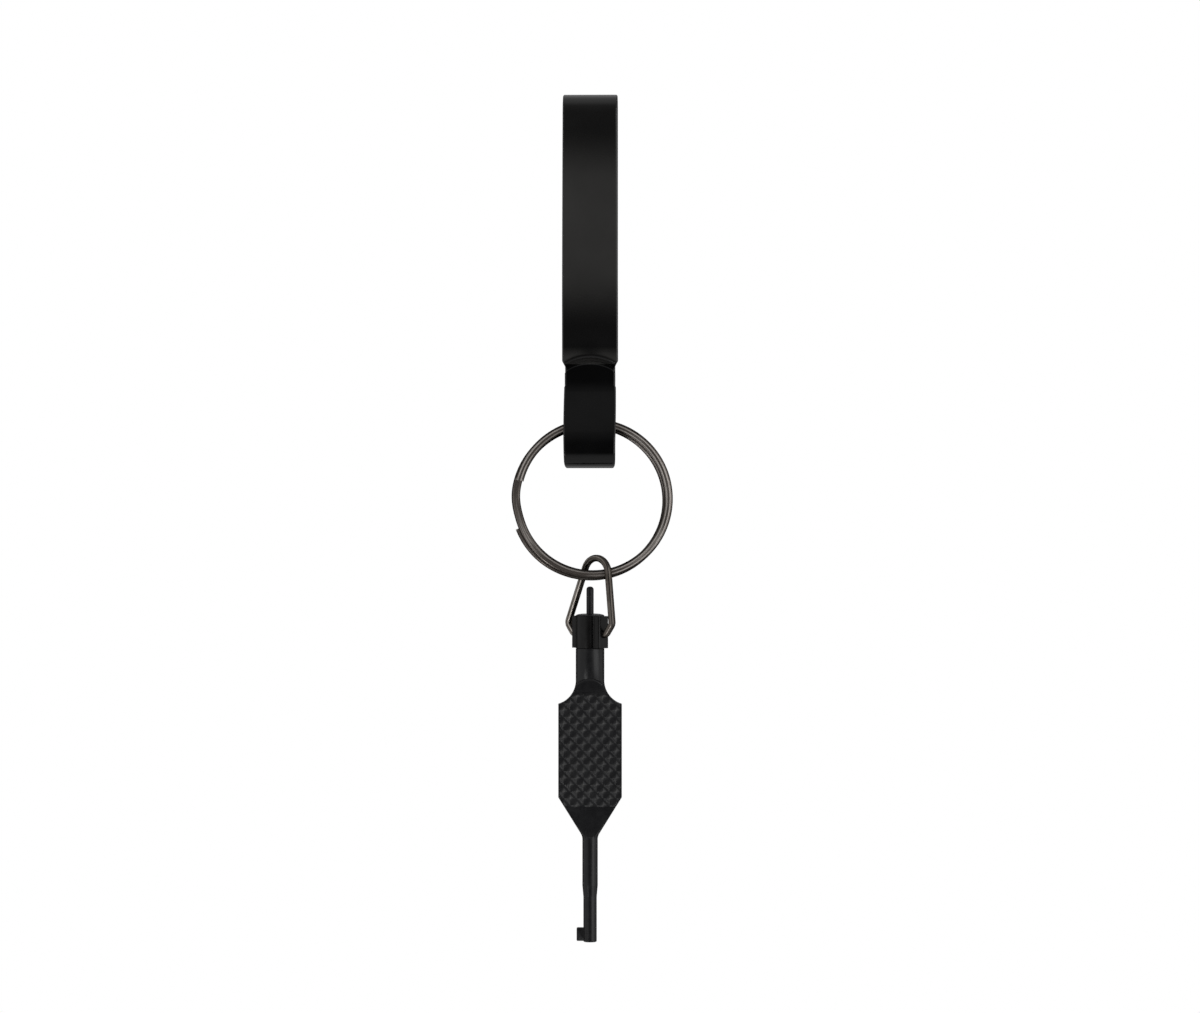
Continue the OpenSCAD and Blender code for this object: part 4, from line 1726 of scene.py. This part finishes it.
@dataclass
class Studio:
    """Camera, soft lamps, a pale floor and a white surround."""

    photo_width: float = 1200.0
    pixels_per_mm: float = 4.05
    distance: float = 0.9
    view: Bearing = Bearing(1.5, 0.0)
    aim: tuple[float, float, float] = (2.47 * MM, -4.0 * MM, -100.9 * MM)
    sensor: float = 36.0
    floor_drop: float = 0.06
    floor_radius: float = 0.15
    shadow_core: float = 0.04
    shadow_reach: float = 0.14
    floor_colour: tuple[float, ...] = (0.9, 0.9, 0.9, 1.0)
    ambient: float = 0.05
    cards: tuple[Card, ...] = (
        Card(180, 86, 6, 46, 0.8), Card(0, 88, 26, 82, 0.2), Card(180, 40, 10, 32, 0.5),
        Card(180, -65, 12, 48, 0.9), Card(0, -60, 10, 40, 0.6), Card(-70, 4, 25, 58, 0.95),
        Card(68, 4, 25, 62, 0.9))
    softboxes: tuple[Softbox, ...] = (
        Softbox(50, 6, "right_softbox", 1.1, (0.8, 1.1), 6.0),
        Softbox(-32, -30, "low_left_softbox", 1.1, (0.24, 0.24), 2.0))

    def camera(self) -> None:
        """Set up the camera, level and a little to the object's right."""
        data = bpy.data.cameras.new("camera")
        data.sensor_width = self.sensor
        data.lens = self.sensor * self.distance / (self.photo_width / self.pixels_per_mm * MM)
        data.clip_start, data.clip_end = 0.01, 50.0
        camera = add_object("camera", data)
        camera.location = Vector(self.aim) + self.view.direction * self.distance
        camera.rotation_euler = (math.pi / 2, 0, math.radians(self.view.azimuth))
        bpy.context.scene.camera = camera

    def lamp(self, box: Softbox) -> None:
        """Add a lamp for a softbox.

        Args:
            box: The softbox.
        """
        data = bpy.data.lights.new(box.name, "AREA")
        data.shape, data.size, data.size_y, data.energy = "RECTANGLE", box.size[0], box.size[1], box.power
        lamp = add_object(box.name, data)
        lamp.location = (CAD_BOX[0] + CAD_BOX[1]) / 2 + box.direction * box.distance
        lamp.rotation_euler = box.direction.to_track_quat("Z", "Y").to_euler()

    def world(self) -> None:
        """Make the surround: white to the camera, and to the object a dim room with bright cards."""
        world = bpy.data.worlds.new("surround")
        world.use_nodes = True
        bpy.context.scene.world = world
        tree = Tree(world.node_tree)
        looking = tree.node("ShaderNodeTexCoord").outputs["Generated"]
        level: object = self.ambient
        for card in self.cards:
            facing = tree.node("ShaderNodeVectorMath", {0: looking, 1: card.direction},
                               operation="DOT_PRODUCT").outputs["Value"]
            edge, full = (math.cos(math.radians(angle)) for angle in (card.outer, card.inner))
            level = tree.maths("ADD", level, tree.mapped(facing, edge, full, 0.0, card.level, smooth=True))
        seen = tree.node("ShaderNodeLightPath").outputs["Is Camera Ray"]
        strength = tree.maths("MAXIMUM", seen, tree.maths("MINIMUM", level, 1.0))
        tree.feed(world.node_tree.nodes["Background"], {"Strength": strength, "Color": WHITE})

    def floor(self) -> None:
        """Lay a pale round floor below the object: white to the camera, but for a soft shadow."""
        shape = bmesh.new()
        bmesh.ops.create_circle(shape, cap_ends=True, segments=96, radius=self.floor_radius,
                                matrix=Matrix.Translation((0, 0, CAD_BOX[0].z - self.floor_drop)))
        floor = mesh_from("floor", shape)
        if floor.data.polygons[0].normal.z < 0:
            floor.data.flip_normals()
        paint = bpy.data.materials.new("pale_floor")
        paint.use_nodes = True
        nodes = paint.node_tree.nodes
        nodes.remove(nodes["Principled BSDF"])
        tree = Tree(paint.node_tree)
        matte = tree.node("ShaderNodeBsdfDiffuse", {"Color": self.floor_colour}).outputs[0]
        glow = tree.node("ShaderNodeEmission", {"Color": WHITE, "Strength": 1.0}).outputs[0]
        clear = tree.node("ShaderNodeBsdfTransparent").outputs[0]
        x, y, _ = tree.split(tree.place())
        away = tree.maths("SQRT", tree.maths("ADD", tree.maths("POWER", x, 2.0), tree.maths("POWER", y, 2.0)))
        far = tree.mapped(away, self.shadow_core, self.shadow_reach, 0.8, 1.0, smooth=True)
        seen = tree.node("ShaderNodeLightPath").outputs["Is Camera Ray"]
        above = tree.node("ShaderNodeMixShader", {0: tree.product(seen, far), 1: matte, 2: glow}).outputs[0]
        under = tree.node("ShaderNodeNewGeometry").outputs["Backfacing"]
        shown = tree.node("ShaderNodeMixShader", {0: under, 1: above, 2: clear}).outputs[0]
        tree.feed(nodes["Material Output"], {"Surface": shown})
        floor.data.materials.append(paint)

    def build(self) -> None:
        """Set up the whole studio."""
        self.camera()
        self.world()
        self.floor()
        for box in self.softboxes:
            self.lamp(box)
        bpy.context.scene.view_settings.view_transform = "Standard"


def main() -> None:
    """Build the studio and every sub-assembly."""
    logging.basicConfig(level=logging.INFO)
    Studio().build()
    for part in (BeltClip(), SplitRing(), SwivelBail(), SwivelCollar(), CuffKey()):
        LOG.info("building %s", type(part).__name__)
        part.build()


if __name__ == "__main__":
    main()
